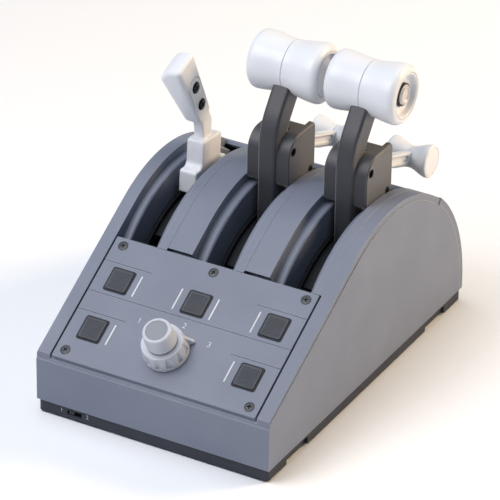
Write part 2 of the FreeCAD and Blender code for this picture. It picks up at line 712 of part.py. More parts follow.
def selector():
    """Fluted pointer dial round an endless knob that also presses in."""
    radius, high = size("dial_radius"), size("dial_high")
    gap = size("button_gap")
    bore = size("knob_bore")
    dial = body("selector_dial")
    section = [(bore, gap), (radius, gap), (radius, 4.5), (radius - 1.2, high - 0.5),
               (radius - 1.7, high, 0.5), (bore, high)]
    revolve(dial, "XZ", [section], "V_Axis")
    flute = pocket(dial, "XY", [("circle", 0, radius + 1.2, 2.6)], 3.0, high + 1)
    ring = dial.newObject("PartDesign::PolarPattern", "dial_flutes")
    ring.Originals = [flute]
    axis = [item for item in dial.Origin.OriginFeatures if item.Role == "Z_Axis"][0]
    ring.Axis = (axis, [""])
    ring.Angle = 360
    ring.Occurrences = 12
    dial.Tip = ring
    # pointer fin that runs down to the printed scale
    fin = [(radius - 3, gap), (radius + 3.6, gap), (radius + 3.6, gap + 0.8),
           (radius - 2.2, high - 0.6), (radius - 3, high - 0.6)]
    pad(dial, "XZ", [fin], -1.1, 1.1)
    spot = (size("selector_x"), size("selector_v"))
    on_panel(dial, spot[0], spot[1])
    spin = FreeCAD.Rotation(Vector(1, 0, 0), SIZES["slope"]).multiply(
        FreeCAD.Rotation(Vector(0, 0, 1), SIZES["selector_rest"]))
    dial.setExpression("Placement.Rotation.Angle", None)
    dial.Placement = FreeCAD.Placement(dial.Placement.Base, spin)
    knob = body("selector_knob")
    low = high + size("knob_lift")
    wide, narrow, top = size("knob_radius"), size("knob_top_radius"), size("knob_top")
    face = size("cap_radius")
    section = [(0, low), (wide, low), (wide, low + 1), (narrow, top - 1),
               (narrow - 1, top, 1), (face, top), (face, top - size("cap_well")),
               (0, top - size("cap_well"))]
    revolve(knob, "XZ", [section], "V_Axis")
    stem = size("stem_radius")
    grip = low + size("stem_grip")
    pocket(knob, "XY", [("circle", 0, 0, stem + 0.02)], low - 1, grip + 0.1)
    on_panel(knob, spot[0], spot[1])
    shaft = body("encoder_shaft")
    pad(shaft, "XY", [("circle", 0, 0, stem)], -size("panel_skin") - 5, grip)
    on_panel(shaft, spot[0], spot[1])
    cap = body("selector_cap")
    pad(cap, "XY", [("circle", 0, 0, face - 0.1)], top - size("cap_well") + 1.1, top - 0.2)
    on_panel(cap, spot[0], spot[1])
    case = body("encoder_case")
    top_z = -size("panel_skin") - 1
    pad(case, "XY", [rounded(-7, -7, 7, 7, 1)], top_z - 9, top_z)
    pocket(case, "XY", [("circle", 0, 0, size("stem_radius") + size("running_gap"))],
           top_z - 7, top_z + 1)
    on_panel(case, spot[0], spot[1])


# ---------------------------------------------------------------- inside the case
def tube(name, parts):
    """A group of plain turned pieces along X: (x0, x1, outer, inner, y, z)."""
    made = []
    for index, (low, high, outer, inner, y, z) in enumerate(parts):
        rod = doc.addObject("Part::Cylinder", "%s_rod_%d" % (name, index))
        bind(rod, "Radius", outer)
        bind(rod, "Height", Size.of(high) - low)
        lay_along_x(rod, low, y, z)
        piece = rod
        if inner is not None:
            bore = doc.addObject("Part::Cylinder", "%s_bore_%d" % (name, index))
            bind(bore, "Radius", inner)
            bind(bore, "Height", Size.of(high) - low + 2)
            lay_along_x(bore, Size.of(low) - 1, y, z)
            piece = doc.addObject("Part::Cut", "%s_ring_%d" % (name, index))
            piece.Base, piece.Tool = rod, bore
        made.append(piece)
    if len(made) > 1:
        return group(name, made)
    made[0].Label = name
    NODES.append(made[0])
    return made[0]


def lay_along_x(piece, x, y, z):
    """Turn an upright cylinder so that it runs along X from x."""
    shift = [Size.of(part) for part in (x, y, z)]
    piece.Placement = FreeCAD.Placement(Vector(*[part.value for part in shift]),
                                        FreeCAD.Rotation(Vector(0, 1, 0), 90))
    for axis, part in zip("xyz", shift):
        bind(piece, "Placement.Base." + axis, part)


bracket_end = (half_width - size("base_inset") - size("tray_wall")
               - size("bracket_skin") / 2 - size("fine_gap"))
bracket_x = [-bracket_end, (slot_centres[0] + slot_centres[1]) / 2,
             (slot_centres[1] + slot_centres[2]) / 2, bracket_end]


def running_gear():
    """Shaft, its four stands and the spacers that keep the levers apart."""
    shaft = size("shaft_radius")
    tube("pivot_shaft", [(-bracket_end - 2.4, bracket_end + 2.4, shaft, None,
                          pivot_y, pivot_z)])
    skin = size("bracket_skin") / 2
    stands = []
    floor = size("foot_height") + size("tray_floor") - pivot_z
    for index, x in enumerate(bracket_x):
        stand = doc.addObject("PartDesign::Body", "stand_%d" % index)
        half = size("bracket_half")
        head = shaft + 4
        shape = [(-half, floor), (half, floor), (half, floor + 3), (head, 0),
                 (0, head, head), (-head, 0, head), (-half, floor + 3)]
        pad(stand, "YZ", [shape], x - skin, x + skin)
        pocket(stand, "YZ", [("circle", 0, 0, shaft + 0.01)], x - skin - 1, x + skin + 1)
        place(stand, 0, pivot_y, pivot_z)
        stands.append(stand)
    group("pivot_brackets", stands)
    gap = size("button_gap")
    reach = size("arm_width") / 2 + gap
    rings = []
    for index, centre in enumerate(slot_centres):
        for low, high in ((bracket_x[index] + skin, centre - reach),
                          (centre + reach, bracket_x[index + 1] - skin)):
            rings.append((low, high, shaft + 2.5, shaft + size("running_gap"), pivot_y,
                          pivot_z))
    tube("shaft_spacers", rings)


def sensor_boards():
    """A small upright board beside each lever, held by the stand next to it."""
    boards = []
    for index in range(3):
        x = bracket_x[index] + size("bracket_skin") / 2
        board = doc.addObject("Part::Box", "sensor_board_%d" % index)
        bind(board, "Length", 1.6)
        bind(board, "Width", 14.0)
        bind(board, "Height", 12.0)
        shift = [x, pivot_y - 7, pivot_z + size("shaft_radius") + 2.8]
        board.Placement.Base = Vector(*[part.value for part in shift])
        for axis, part in zip("xyz", shift):
            bind(board, "Placement.Base." + axis, part)
        boards.append(board)
    group("sensor_boards", boards)


def floor_pieces():
    """What lies on or under the base: weight, main board, inserts and feet."""
    floor = size("foot_height") + size("tray_floor")
    plate = body("ballast_plate")
    pad(plate, "XY", [rounded(-46, 50, 46, 112, 3)], floor, floor + 6)
    board = body("main_board")
    pad(board, "XY", [rounded(-40, -104, 40, -48, 1)], floor + 2, floor + 3.6)
    pad(board, "XY", [("circle", 35 * a, -76 + 23 * b, 2.5) for a in (-1, 1)
                      for b in (-1, 1)], floor, floor + 3)
    sleeves, pads = [], []
    for across in (-1, 1):
        for along in (-1, 1):
            spot = (size("insert_x") * across, size("insert_y") * along)
            sleeve = upright("insert", spot, size("foot_height"), 8.0,
                             size("insert_radius"), size("insert_bore"))
            sleeves.append(sleeve)
            spot = (size("foot_x") * across, size("foot_y") * along)
            pads.append(upright("foot", spot, 0.0, size("foot_height"),
                                size("foot_radius"), None))
    screws = []
    seat = size("foot_height") + size("post_sunk")
    for spot in post_spots:
        screw = doc.addObject("Part::Fuse", "base_screw")
        head = size("post_head_high")
        screw.Base = upright("base_head", spot, seat - head, head, size("post_head"), None)
        screw.Tool = upright("base_shank", spot, seat - 0.5, size("post_long"),
                             size("post_screw"), None)
        screws.append(screw)
    group("base_screws", screws)
    group("threaded_inserts", sleeves)
    group("rubber_feet", pads)


def upright(name, spot, low, tall, outer, inner):
    """A standing rod, or a sleeve when it has an inner radius."""
    rod = doc.addObject("Part::Cylinder", name + "_rod")
    bind(rod, "Radius", outer)
    bind(rod, "Height", tall)
    place_flat(rod, spot[0], spot[1], low)
    if inner is None:
        return rod
    bore = doc.addObject("Part::Cylinder", name + "_bore")
    bind(bore, "Radius", inner)
    bind(bore, "Height", Size.of(tall) + 2)
    place_flat(bore, spot[0], spot[1], Size.of(low) - 1)
    sleeve = doc.addObject("Part::Cut", name + "_sleeve")
    sleeve.Base, sleeve.Tool = rod, bore
    return sleeve


def data_inlet():
    """Small socket with a tongue inside, set in the back."""
    socket = body("data_inlet")
    x, z = size("inlet_x"), size("inlet_z")
    back = rear_radius - 1.2
    pad(socket, "XZ", [rounded(x - 4.5, z - 1.6, x + 4.5, z + 1.6, 1.5)], -back, 8 - back)
    pocket(socket, "XZ", [rounded(x - 4.1, z - 1.2, x + 4.1, z + 1.2, 1.1)], -back - 1,
           6.5 - back)
    pad(socket, "XZ", [rectangle(x - 3.3, z - 0.35, x + 3.3, z + 0.35)], 1.5 - back,
        7 - back)
    board = rectangle(x - 8, z - 3.4, x + 8, z - 1.6)
    pad(socket, "XZ", [board], 3.5 - back, 16 - back)
    place(socket, 0, pivot_y, pivot_z)


def mode_switch():
    """Slide switch behind the slot in the front of the base."""
    x, z = size("mode_x"), size("mode_z")
    inner = half_depth - size("base_inset") - size("tray_wall")
    case = body("mode_switch_case")
    pad(case, "XZ", [rectangle(x - 8, z - 1.5, x + 8, z + 3.2)], inner - 6.4, inner - 0.1)
    pocket(case, "XZ", [rectangle(x - 6, z - 1.2, x + 6, z + 1.2)], inner - 3, inner)
    slider = body("mode_switch_slider")
    home = x - size("mode_travel") / 2
    pad(slider, "XZ", [rectangle(home - 1.8, z - 1.1, home + 1.8, z + 1.1)], inner - 2.6,
        inner + 2.2)


# ---------------------------------------------------------------- lever helpers
def mirrored(loop, side):
    """The same loop for the right (1) or left (-1) half."""
    if loop[0] == "circle":
        return ("circle", Size.of(loop[1]) * side) + tuple(loop[2:])
    flipped = []
    for point in loop:
        point = [Size.of(part) for part in point]
        point[0] = point[0] * side
        if len(point) == 3:
            point[2] = point[2] * side
        flipped.append(tuple(point))
    return flipped


def soften(owner, amount, wanted, kind="PartDesign::Fillet"):
    """Round or bevel the edges of the body that pass a test."""
    doc.recompute()
    base = owner.Tip
    names = ["Edge%d" % index for index, edge in enumerate(base.Shape.Edges, start=1)
             if wanted(edge)]
    made = owner.newObject(kind, owner.Name + "_edge")
    made.Base = (base, names)
    bind(made, "Radius" if kind.endswith("Fillet") else "Size", amount)
    owner.Tip = made
    return made


def dust_shield(name, x, deep, shift=0.0, turn=None):
    """Curved strip that closes the slit around an arm."""
    shield = body(name)
    outer = size("shield_radius")
    inner = outer - size("shield_skin")
    half = size("shield_half")
    span = size("shield_span")
    pad(shield, "YZ", [sector(inner, outer, -span, span)], -half, half)
    hole = rectangle(Size.of(shift) - deep / 2 - 0.05, inner - 2,
                     Size.of(shift) + deep / 2 + 0.05, outer + 2)
    reach = size("arm_width") / 2 + 0.05
    pocket(shield, "YZ", [hole], -reach, reach)
    place(shield, x, pivot_y, pivot_z, turn=turn)


# ---------------------------------------------------------------- thrust levers
lean = size("arm_lean")
bend_z = size("bend_height")
arm_y = size("arm_shift")
grip_y = arm_y + size("grip_reach") * sine(lean)
grip_z = bend_z + size("grip_reach") * cosine(lean)


def along_arm(distance, across):
    """A point of the leaning part of the arm; across > 0 is away from the pilot."""
    return (arm_y + distance * sine(lean) + across * cosine(lean),
            bend_z + distance * cosine(lean) - across * sine(lean))


def thrust_arm(number, x):
    """Hub, straight lower part, bend and boss of one lever."""
    arm = body("thrust_arm_%d" % number)
    half = size("arm_width") / 2
    deep = size("arm_deep") / 2
    radius = size("bend_radius")
    run = radius * tangent(lean / 2)
    reach = size("grip_reach")
    front = along_arm(run, -deep)
    outline = [(arm_y - deep, 0), (arm_y - deep, bend_z - run),
               (front[0], front[1], -(radius + deep)), along_arm(reach, -deep),
               along_arm(reach, deep), along_arm(run, deep),
               (arm_y + deep, bend_z - run, radius - deep), (arm_y + deep, 0)]
    pad(arm, "YZ", [outline], -half, half)
    def outer_edge(edge):
        ends = [vertex.Point for vertex in edge.Vertexes]
        on_side = all(abs(abs(point.x) - half.value) < 0.01 for point in ends)
        return on_side and len({round(point.x, 2) for point in ends}) == 1 and min(
            point.z for point in ends) > -0.5 and edge.Length > 20

    soften(arm, size("edge_round"), outer_edge)
    pad(arm, "YZ", [("circle", 0, 0, size("hub_radius"))], -half, half)
    pad(arm, "YZ", [("circle", grip_y, grip_z, size("grip_boss"))], -half, half)
    holes = [("circle", 0, 0, size("shaft_radius") + size("running_gap"))]
    holes += [("circle", size("reverse_pin_y"), size("reverse_pin_z"),
               size("reverse_pin") + 0.01)]
    pocket(arm, "YZ", holes, -half - 1, half + 1)
    place(arm, x, pivot_y, pivot_z)


def reverser_half(number, name, side, x):
    """One half of the D-shaped housing beside the arm: round front, open back."""
    shell = body("reverser_housing_%s_%d" % (name, number))
    half = size("block_half")
    inner = size("arm_width") / 2 + size("block_gap")
    front, rear = size("block_front"), size("block_rear")
    top, low = size("block_top"), size("block_bottom")
    round_off = size("block_round")
    skin = size("block_shell")
    corner = size("block_corner")

    def level(radius, y):
        return root(radius * radius - y * y)

    outline = [(front, level(low, front) + 3), (front, top - round_off),
               (front + round_off, top, -round_off), (rear - corner, top),
               (rear, top - corner), (rear, level(low, rear)),
               (front + 3, level(low, front + 3), low)]
    pad(shell, "YZ", [outline], *on_side(inner, half, side))
    notch = size("notch_front")
    bridge = rectangle(size("bridge_front"), top - skin, notch, top)
    pad(shell, "YZ", [bridge], *on_side(size("running_gap"), inner + 0.5, side))

    def outer_edge(edge):
        return all(abs(abs(vertex.Point.x) - half.value) < 0.01 for vertex in edge.Vertexes)

    soften(shell, size("block_edge"), outer_edge, "PartDesign::Chamfer")
    hollow_round = round_off - skin
    floor = low + skin
    hollow = [(front + skin, level(floor, front + skin), floor),
              (front + skin, top - round_off),
              (front + round_off, top - skin, -hollow_round), (notch, top - skin),
              (notch, top + 1), (rear + 1, top + 1), (rear + 1, level(floor, rear + 1))]
    pocket(shell, "YZ", [hollow], *on_side(inner - 1, half - size("block_wall"), side))
    pins = [("circle", size("reverse_pin_y"), size("reverse_pin_z"), size("reverse_pin")),
            ("circle", size("stop_pin_y"), size("stop_pin_z"), size("reverse_pin"))]
    bores = [(kind, y, z, radius + 0.01) for kind, y, z, radius in pins]
    pocket(shell, "YZ", bores, *on_side(0, half + 1, side))
    sink = [("circle", size("reverse_pin_y"), size("reverse_pin_z"), size("pin_head"))]
    pocket(shell, "YZ", sink, *on_side(half - size("pin_sunk"), half + 1, side))
    place(shell, x, pivot_y, pivot_z)


def reverser_pins(number, x):
    """Pivot pin of the reverse lever and the lower pin that joins the two halves."""
    half = size("block_half") - size("pin_sunk")
    radius = size("reverse_pin")
    tube("reverser_pins_%d" % number, [
        (x - half, x + half, radius, None, pivot_y + size("reverse_pin_y"),
         pivot_z + size("reverse_pin_z")),
        (x - half, x + half, radius, None, pivot_y + size("stop_pin_y"),
         pivot_z + size("stop_pin_z"))])


def grip_half(number, name, side, x, has_button):
    """One half of the spool-shaped grip, hollowed for the boss of the arm."""
    grip = body("grip_%s_%d" % (name, number))
    end, waist, half = size("grip_end"), size("grip_waist"), size("grip_half")
    swell = end - waist
    run = half - 4.2
    flare = (run * run + swell * swell) / (swell * 2)
    boss = size("grip_boss") + size("block_gap")
    inner = size("arm_width") / 2 + size("block_gap")
    seam = size("running_gap")
    face = half - size("dish_depth")
    dish = size("dish_radius")
    section = [(seam, boss), (seam, waist), (run + seam, end, flare), (half - 3, end),
               (half, end - 3, -3), (half, end - 3.6), (half - 0.5, end - 3.6),
               (half - 0.5, end - 4.1), (half, end - 4.1), (half, dish + 0.8),
               (face, dish)]
    if has_button:
        section += [(face, size("grip_collar")), (half - 11, size("grip_collar")),
                    (half - 11, 0)]
    else:
        section += [(face, 0)]
    section += [(inner, 0), (inner, boss)]
    revolve(grip, "XY", [mirrored(section, side)], "H_Axis")
    deep = size("arm_deep") / 2 + size("block_gap")

    def down(distance, across):
        return (across * cosine(lean) - distance * sine(lean),
                -(across * sine(lean)) - distance * cosine(lean))

    slot = [down(0, -deep), down(0, deep), down(24, deep), down(24, -deep)]
    pocket(grip, "YZ", [slot], *on_side(-seam, inner, side))
    place(grip, x, pivot_y + grip_y, pivot_z + grip_z)


def grip_push_button(number, side, x):
    """Collar and dished push button in the outer end of a grip."""
    half = size("grip_half")
    bore = size("grip_button") + 0.08
    collar = body("grip_collar_%d" % number)
    section = [(half - 11, bore), (half - 11, size("grip_collar") - 0.02),
               (half - 1.9, size("grip_collar") - 0.02), (half - 1.9, bore)]
    revolve(collar, "XY", [mirrored(section, side)], "H_Axis")
    place(collar, x, pivot_y + grip_y, pivot_z + grip_z)
    button = body("grip_button_%d" % number)
    radius = size("grip_button")
    base = half - 11 + size("grip_travel") + 0.3
    face = half - 0.5
    section = [(base, 0), (base, radius), (face - 1, radius), (face, radius - 1, 1),
               (face - 0.9, radius - 2.4), (face - 0.9, 0)]
    revolve(button, "XY", [mirrored(section, side)], "H_Axis")
    place(button, x, pivot_y + grip_y, pivot_z + grip_z)


def reverse_lever(number, x):
    """Fork round the arm, shank behind it and the small spool knob."""
    drop = size("reverse_drop")
    lever = body("reverse_lever_%d" % number)
    fork, skin = size("fork_length"), size("fork_skin")
    side_gap = size("arm_width") / 2 + 0.8
    high, low_shank = size("fork_high") / 2, size("shank_high") / 2
    reach = size("reverse_reach")
    wide = size("shank_wide") / 2
    eye = size("reverse_pin") + 1.0
    for side in (-1, 1):
        cheek = on_side(side_gap, side_gap + skin, side)
        pad(lever, "YZ", [rectangle(0, -high, fork, high)], *cheek)
        pad(lever, "YZ", [("circle", 0, 0, eye)], *cheek)
    web = side_gap + skin
    pad(lever, "YZ", [rectangle(fork, -high, fork + 3, high)], -web, web)
    shank = [(fork + 2, -low_shank), (reach, -low_shank),
             (reach + low_shank, 0, low_shank), (reach, low_shank, low_shank),
             (fork + 2, low_shank)]
    pad(lever, "YZ", [shank], -wide, wide)
    pocket(lever, "YZ", [("circle", 0, 0, size("reverse_pin") + size("running_gap"))],
           -web - 1, web + 1)
    knob_y = pivot_y + size("reverse_pin_y") + reach * cosine(drop)
    knob_z = pivot_z + size("reverse_pin_z") - reach * sine(drop)
    place(lever, x, pivot_y + size("reverse_pin_y"), pivot_z + size("reverse_pin_z"),
          turn=-drop)
    half, end, waist = size("knob_half"), size("knob_end"), size("knob_waist")
    for name, side in (("left", -1), ("right", 1)):
        knob = body("reverse_knob_%s_%d" % (name, number))
        seam = size("running_gap")
        swell = end - waist
        run = half - 3.4
        flare = (run * run + swell * swell) / (swell * 2)
        section = [(seam, 0), (seam, waist), (run + seam, end, flare), (half - 1.8, end),
                   (half, end - 1.8, -1.8), (half - 0.3, end - 2.0), (half - 0.3, 0)]
        revolve(knob, "XY", [mirrored(section, side)], "H_Axis")
        gap = size("block_gap")
        slot = [(low_shank + gap, -low_shank - gap),
                (low_shank + gap, low_shank + gap), (-end - 2, low_shank + gap),
                (-end - 2, -low_shank - gap)]
        pocket(knob, "YZ", [slot], *on_side(-seam, wide + gap, side))
        place(knob, x, knob_y, knob_z, turn=-drop)


# ---------------------------------------------------------------- speed brake lever
def speed_brake(x):
    """Collared arm, bent blade and a tapered paddle screwed to it."""
    tilt = size("brake_lean")
    arm = body("speed_brake_arm")
    half = size("arm_width") / 2
    top = size("collar_top")
    collar, neck, crown = size("collar_half"), size("neck_half"), size("neck_top")
    pad(arm, "YZ", [rectangle(-7, 0, 7, 78)], -half, half)
    pad(arm, "YZ", [("circle", 0, 0, size("hub_radius"))], -half, half)
    sleeve = [(-collar, 76), (collar, 76), (collar, top - 2), (collar - 2, top, 2),
              (neck + 2, top), (neck, top + 2.5), (neck, crown - 1.8),
              (neck - 1.8, crown, 1.8), (1.8 - neck, crown), (-neck, crown - 1.8, 1.8),
              (-neck, top + 2.5), (-neck - 2, top), (2 - collar, top),
              (-collar, top - 2, 2)]
    pad(arm, "YZ", [sleeve], -half, half)
    blade_half = size("blade_wide") / 2
    pad(arm, "YZ", [blade_outline(0)], -blade_half, blade_half)
    pocket(arm, "YZ", [("circle", 0, 0, size("shaft_radius") + size("running_gap"))],
           -half - 1, half + 1)
    sinks = [("circle", y, z, size("brake_screw") + 0.05) for y, z in blade_screws()]
    pocket(arm, "YZ", sinks, blade_half - 1.6, blade_half + 1)
    place(arm, x, pivot_y, pivot_z, turn=-tilt)
    heads = []
    for index, (y, z) in enumerate(blade_screws()):
        head = doc.addObject("Part::Cylinder", "brake_screw_%d" % index)
        bind(head, "Radius", size("brake_screw"))
        bind(head, "Height", 1.5)
        lay_along_x(head, blade_half - 1.6, y, z)
        heads.append(head)
    place(group("speed_brake_screws", heads), x, pivot_y, pivot_z, turn=-tilt)
    paddle(x, tilt, blade_half)
    dust_shield("speed_brake_shield", x, Size.of(14), turn=-tilt)


def blade_screws():
    angle = size("blade_angle")
    low = (size("blade_low_y"), size("blade_low_z"))
    gap = size("blade_screw_gap")
    return [low, (low[0] - gap * sine(angle), low[1] + gap * cosine(angle))]


def blade_outline(grow):
    """Side view of the blade: upright foot, then a run that leans to the pilot."""
    angle = size("blade_angle")
    half = size("blade_deep") / 2 + grow
    foot = size("blade_foot_y")
    low_y, low_z = size("blade_low_y"), size("blade_low_z")
    end = size("blade_screw_gap") + 2.5

    def spot(distance, across):
        return (low_y - distance * sine(angle) + across * cosine(angle),
                low_z + distance * cosine(angle) + across * sine(angle))

    base = size("neck_top") - 3
    bend = size("neck_top") + 4
    crest = spot(end + half, 0)
    tip = spot(end, -half)
    front = spot(-14, -half)
    rear = spot(-20, half)
    return [(foot - half, base), (foot + half, base), (foot + half, bend), rear,
            spot(end, half), (crest[0], crest[1], half), (tip[0], tip[1], half), front,
            (foot - half, bend)]


def paddle(x, tilt, blade_half):
    """Wedge that is wide at the top, with a rounded crown and a slanted left shoulder."""
    angle = size("blade_angle")
    piece = body("speed_brake_paddle")
    right = size("paddle_right")
    left = size("paddle_left_top")
    front, rear = size("paddle_deep_top") * 0.56, size("paddle_deep_top") * 0.46
    low_front, low_rear = size("paddle_deep_low") * 0.62, size("paddle_deep_low") * 0.4
    long = size("paddle_long")
    crown = long - 2.5
    side_view = [(-low_front, -3), (-low_front + 3, -6, 3), (low_rear - 3, -11),
                 (low_rear, -8, 3), (rear, crown - 12), (rear - 9, crown - 1, 11),
                 (3 - front, crown), (-front, crown - 3, 3)]
    pad(piece, "YZ", [side_view], -left - 1, right)
    low_left = size("paddle_left_low")
    trim = [(-left - 3, -14), (1 - low_left, -14), (-low_left, -6), (-left, crown - 11),
            (9 - left, crown + 1, -14), (9 - left, crown + 4), (-left - 3, crown + 4)]
    pocket(piece, "XZ", [trim], -front * 2, front * 2)
    # the blade lies in a pocket that is open on the right
    gap = size("block_gap")
    half = size("blade_deep") / 2 + gap
    end = size("blade_screw_gap") + 2.5
    bed = [(-half, -16), (half, -16), (half, end), (0, end + half, half),
           (-half, end, half)]
    pocket(piece, "YZ", [bed], -blade_half - gap, right + 1)
    low_y, low_z = size("blade_low_y"), size("blade_low_z")
    place(piece, x, pivot_y + low_y * cosine(tilt) + low_z * sine(tilt),
          pivot_z - low_y * sine(tilt) + low_z * cosine(tilt), turn=angle - tilt)


# ---------------------------------------------------------------- build everything
outer_housing()
rear_cover()
base_tray()
lever_gate()
rib_cover("rib_cover_left", slot_centres[0], slot_centres[1])
rib_cover("rib_cover_right", slot_centres[1], slot_centres[2])
gate_liner()
control_panel()
panel_screws()
for spot_number, (spot_u, spot_v) in enumerate(button_spots, start=1):
    panel_button(spot_number, spot_u, spot_v)
button_board()
selector()
running_gear()
sensor_boards()
floor_pieces()
data_inlet()
mode_switch()
speed_brake(slot_centres[0])
for lever_number, lever_x in ((1, slot_centres[1]), (2, slot_centres[2])):
    outer_side = -1 if lever_number == 1 else 1
    thrust_arm(lever_number, lever_x)
    dust_shield("dust_shield_%d" % lever_number, lever_x, size("arm_deep"), arm_y)
    for half_name, half_side in (("left", -1), ("right", 1)):
        reverser_half(lever_number, half_name, half_side, lever_x)
        grip_half(lever_number, half_name, half_side, lever_x, half_side == outer_side)
    reverser_pins(lever_number, lever_x)
    grip_push_button(lever_number, outer_side, lever_x)
    reverse_lever(lever_number, lever_x)
doc.recompute()

# ---------------------------------------------------------------- check and write
failed = [item.Name for item in doc.Objects
          if "Invalid" in item.State or "Error" in item.State]
if failed:
    raise RuntimeError("did not build: %s" % ", ".join(failed))
os.makedirs("parts", exist_ok=True)
for node in NODES:
    shape = node.Shape
    if shape.isNull() or not shape.isValid():
        raise RuntimeError("%s has no valid shape" % node.Label)
for node in NODES:
    node.Shape.exportStep("parts/%s.step" % node.Label)
print("%d nodes, %d solids" % (len(NODES), sum(len(node.Shape.Solids) for node in NODES)))
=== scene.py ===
"""Looks of a desktop throttle quadrant: finishes, fine pieces, light and camera.

Metres, in the frame of the CAD model: +X is the pilot's right, +Y points away from the
pilot, +Z is up. MM turns a size in millimetres into metres.
"""
import json
import math

import bmesh
import bpy
from mathutils import Matrix, Vector


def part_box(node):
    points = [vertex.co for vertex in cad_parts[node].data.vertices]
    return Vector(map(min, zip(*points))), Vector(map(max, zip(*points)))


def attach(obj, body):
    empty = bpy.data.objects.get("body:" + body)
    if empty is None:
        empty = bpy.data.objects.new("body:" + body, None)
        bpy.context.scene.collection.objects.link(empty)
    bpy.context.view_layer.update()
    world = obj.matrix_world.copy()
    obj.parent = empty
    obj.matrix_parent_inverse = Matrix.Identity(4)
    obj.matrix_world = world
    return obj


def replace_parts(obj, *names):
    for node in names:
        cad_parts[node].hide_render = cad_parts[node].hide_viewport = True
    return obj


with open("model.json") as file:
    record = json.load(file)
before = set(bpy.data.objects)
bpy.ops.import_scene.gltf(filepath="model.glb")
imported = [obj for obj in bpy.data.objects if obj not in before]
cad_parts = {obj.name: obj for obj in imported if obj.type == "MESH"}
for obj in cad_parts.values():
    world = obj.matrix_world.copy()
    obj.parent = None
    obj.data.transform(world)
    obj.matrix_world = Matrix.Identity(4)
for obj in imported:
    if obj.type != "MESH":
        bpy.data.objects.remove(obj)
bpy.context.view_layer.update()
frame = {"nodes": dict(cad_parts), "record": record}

MM = 0.001
SLOPE = math.radians(30)
QUARTER = math.radians(90)
SHARP = math.radians(35)        # edges that turn further than this stay sharp
scene = bpy.context.scene


# ---------------------------------------------------------------- places read from the frame
def middle(node):
    """The centre of a CAD node's box."""
    low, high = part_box(node)
    return (low + high) / 2


plate_low, plate_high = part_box("control_panel")
PLATE_THICK = 3 * MM
PLATE_LONG = ((plate_high.y - plate_low.y) - PLATE_THICK * math.sin(SLOPE)) / math.cos(SLOPE)
PLATE_FOOT = Vector((0, plate_low.y, plate_high.z - PLATE_LONG * math.sin(SLOPE)))
UP_SLOPE = Vector((0, math.cos(SLOPE), math.sin(SLOPE)))
OUT_OF_PLATE = Vector((0, -math.sin(SLOPE), math.cos(SLOPE)))


def on_plate(across, along, out=0.0):
    """Matrix that carries a flat piece onto the panel: X across, Y up the slope, Z out."""
    place = PLATE_FOOT + Vector((across, 0, 0)) + UP_SLOPE * along + OUT_OF_PLATE * out
    return Matrix.Translation(place) @ Matrix.Rotation(SLOPE, 4, "X")


# ---------------------------------------------------------------- finishes
def linear(code):
    """An sRGB hex colour as linear RGBA."""
    parts = [int(code[at:at + 2], 16) / 255 for at in (1, 3, 5)]
    return tuple(p / 12.92 if p <= 0.04045 else ((p + 0.055) / 1.055) ** 2.4
                 for p in parts) + (1.0,)


def add(tree, kind, settings=None, **inputs):
    """Add a node, set its options, and set or link its inputs (Base_Color is Base Color)."""
    made = tree.nodes.new("ShaderNode" + kind)
    for option, value in (settings or {}).items():
        setattr(made, option, value)
    for label, value in inputs.items():
        socket = made.inputs[label.replace("_", " ")]
        if isinstance(value, bpy.types.NodeSocket):
            tree.links.new(value, socket)
        else:
            socket.default_value = value
    return made


def shades(tree, amount, *stops):
    """Colours along a 0 to 1 value, each stop a place and a hex colour."""
    ramp = add(tree, "ValToRGB", Fac=amount)
    points = ramp.color_ramp.elements
    while len(points) < len(stops):
        points.new(0.5)
    for point, (place, code) in zip(points, stops):
        point.position = place
        point.color = linear(code)
    return ramp.outputs["Color"]


def span(tree, amount, low, high):
    """Carry a 0 to 1 value into the span from low to high."""
    return add(tree, "MapRange", Value=amount, To_Min=low, To_Max=high).outputs["Result"]


def start(name):
    """A new material: its tree, its shader and where on the piece a point lies."""
    made = bpy.data.materials.new(name)
    made.use_nodes = True
    tree = made.node_tree
    tree.nodes.clear()
    shader = add(tree, "BsdfPrincipled")
    add(tree, "OutputMaterial", Surface=shader.outputs["BSDF"])
    return made, tree, shader, add(tree, "TexCoord").outputs["Object"]


def edge_catch(tree, radius):
    """Rounded normal, and how sharply the surface turns within that radius."""
    soft = add(tree, "Bevel", {"samples": 6}, Radius=radius).outputs["Normal"]
    true = add(tree, "NewGeometry").outputs["Normal"]
    facing = add(tree, "VectorMath", {"operation": "DOT_PRODUCT"})
    tree.links.new(soft, facing.inputs[0])
    tree.links.new(true, facing.inputs[1])
    turn = add(tree, "MapRange", Value=facing.outputs["Value"], From_Min=0.995,
               From_Max=0.80, To_Min=0.0, To_Max=1.0).outputs["Result"]
    return soft, turn


def moulded(name, body, pale, rim, rough, grain, depth, edge=0.35, coat=0.0):
    """Moulded plastic: spark-eroded grain, faint flow clouds, and edges that catch light from
    a rounded normal and from a painted highlight.
    """
    made, tree, shader, spot = start(name)
    cloud = add(tree, "TexNoise", Vector=spot, Scale=1 / (35 * MM), Detail=3.0).outputs["Fac"]
    tone = shades(tree, cloud, (0.35, body), (0.7, pale))
    soft, turn = edge_catch(tree, edge * MM)
    # painted highlight: the pale rim colour is mixed into the edges where the surface turns
    # sharply
    mixed = add(tree, "MixRGB", Fac=turn, Color1=tone, Color2=linear(rim))
    tree.links.new(mixed.outputs["Color"], shader.inputs["Base Color"])
    pits = add(tree, "TexNoise", Vector=spot, Scale=1 / (grain * MM), Detail=2.0,
               Roughness=0.6).outputs["Fac"]
    tree.links.new(span(tree, pits, rough - 0.07, rough + 0.07), shader.inputs["Roughness"])
    relief = add(tree, "Bump", Height=pits, Distance=depth * MM, Strength=0.7, Normal=soft)
    tree.links.new(relief.outputs["Normal"], shader.inputs["Normal"])
    shader.inputs["IOR"].default_value = 1.5
    shader.inputs["Coat Weight"].default_value = coat
    shader.inputs["Coat Roughness"].default_value = 0.2
    return made


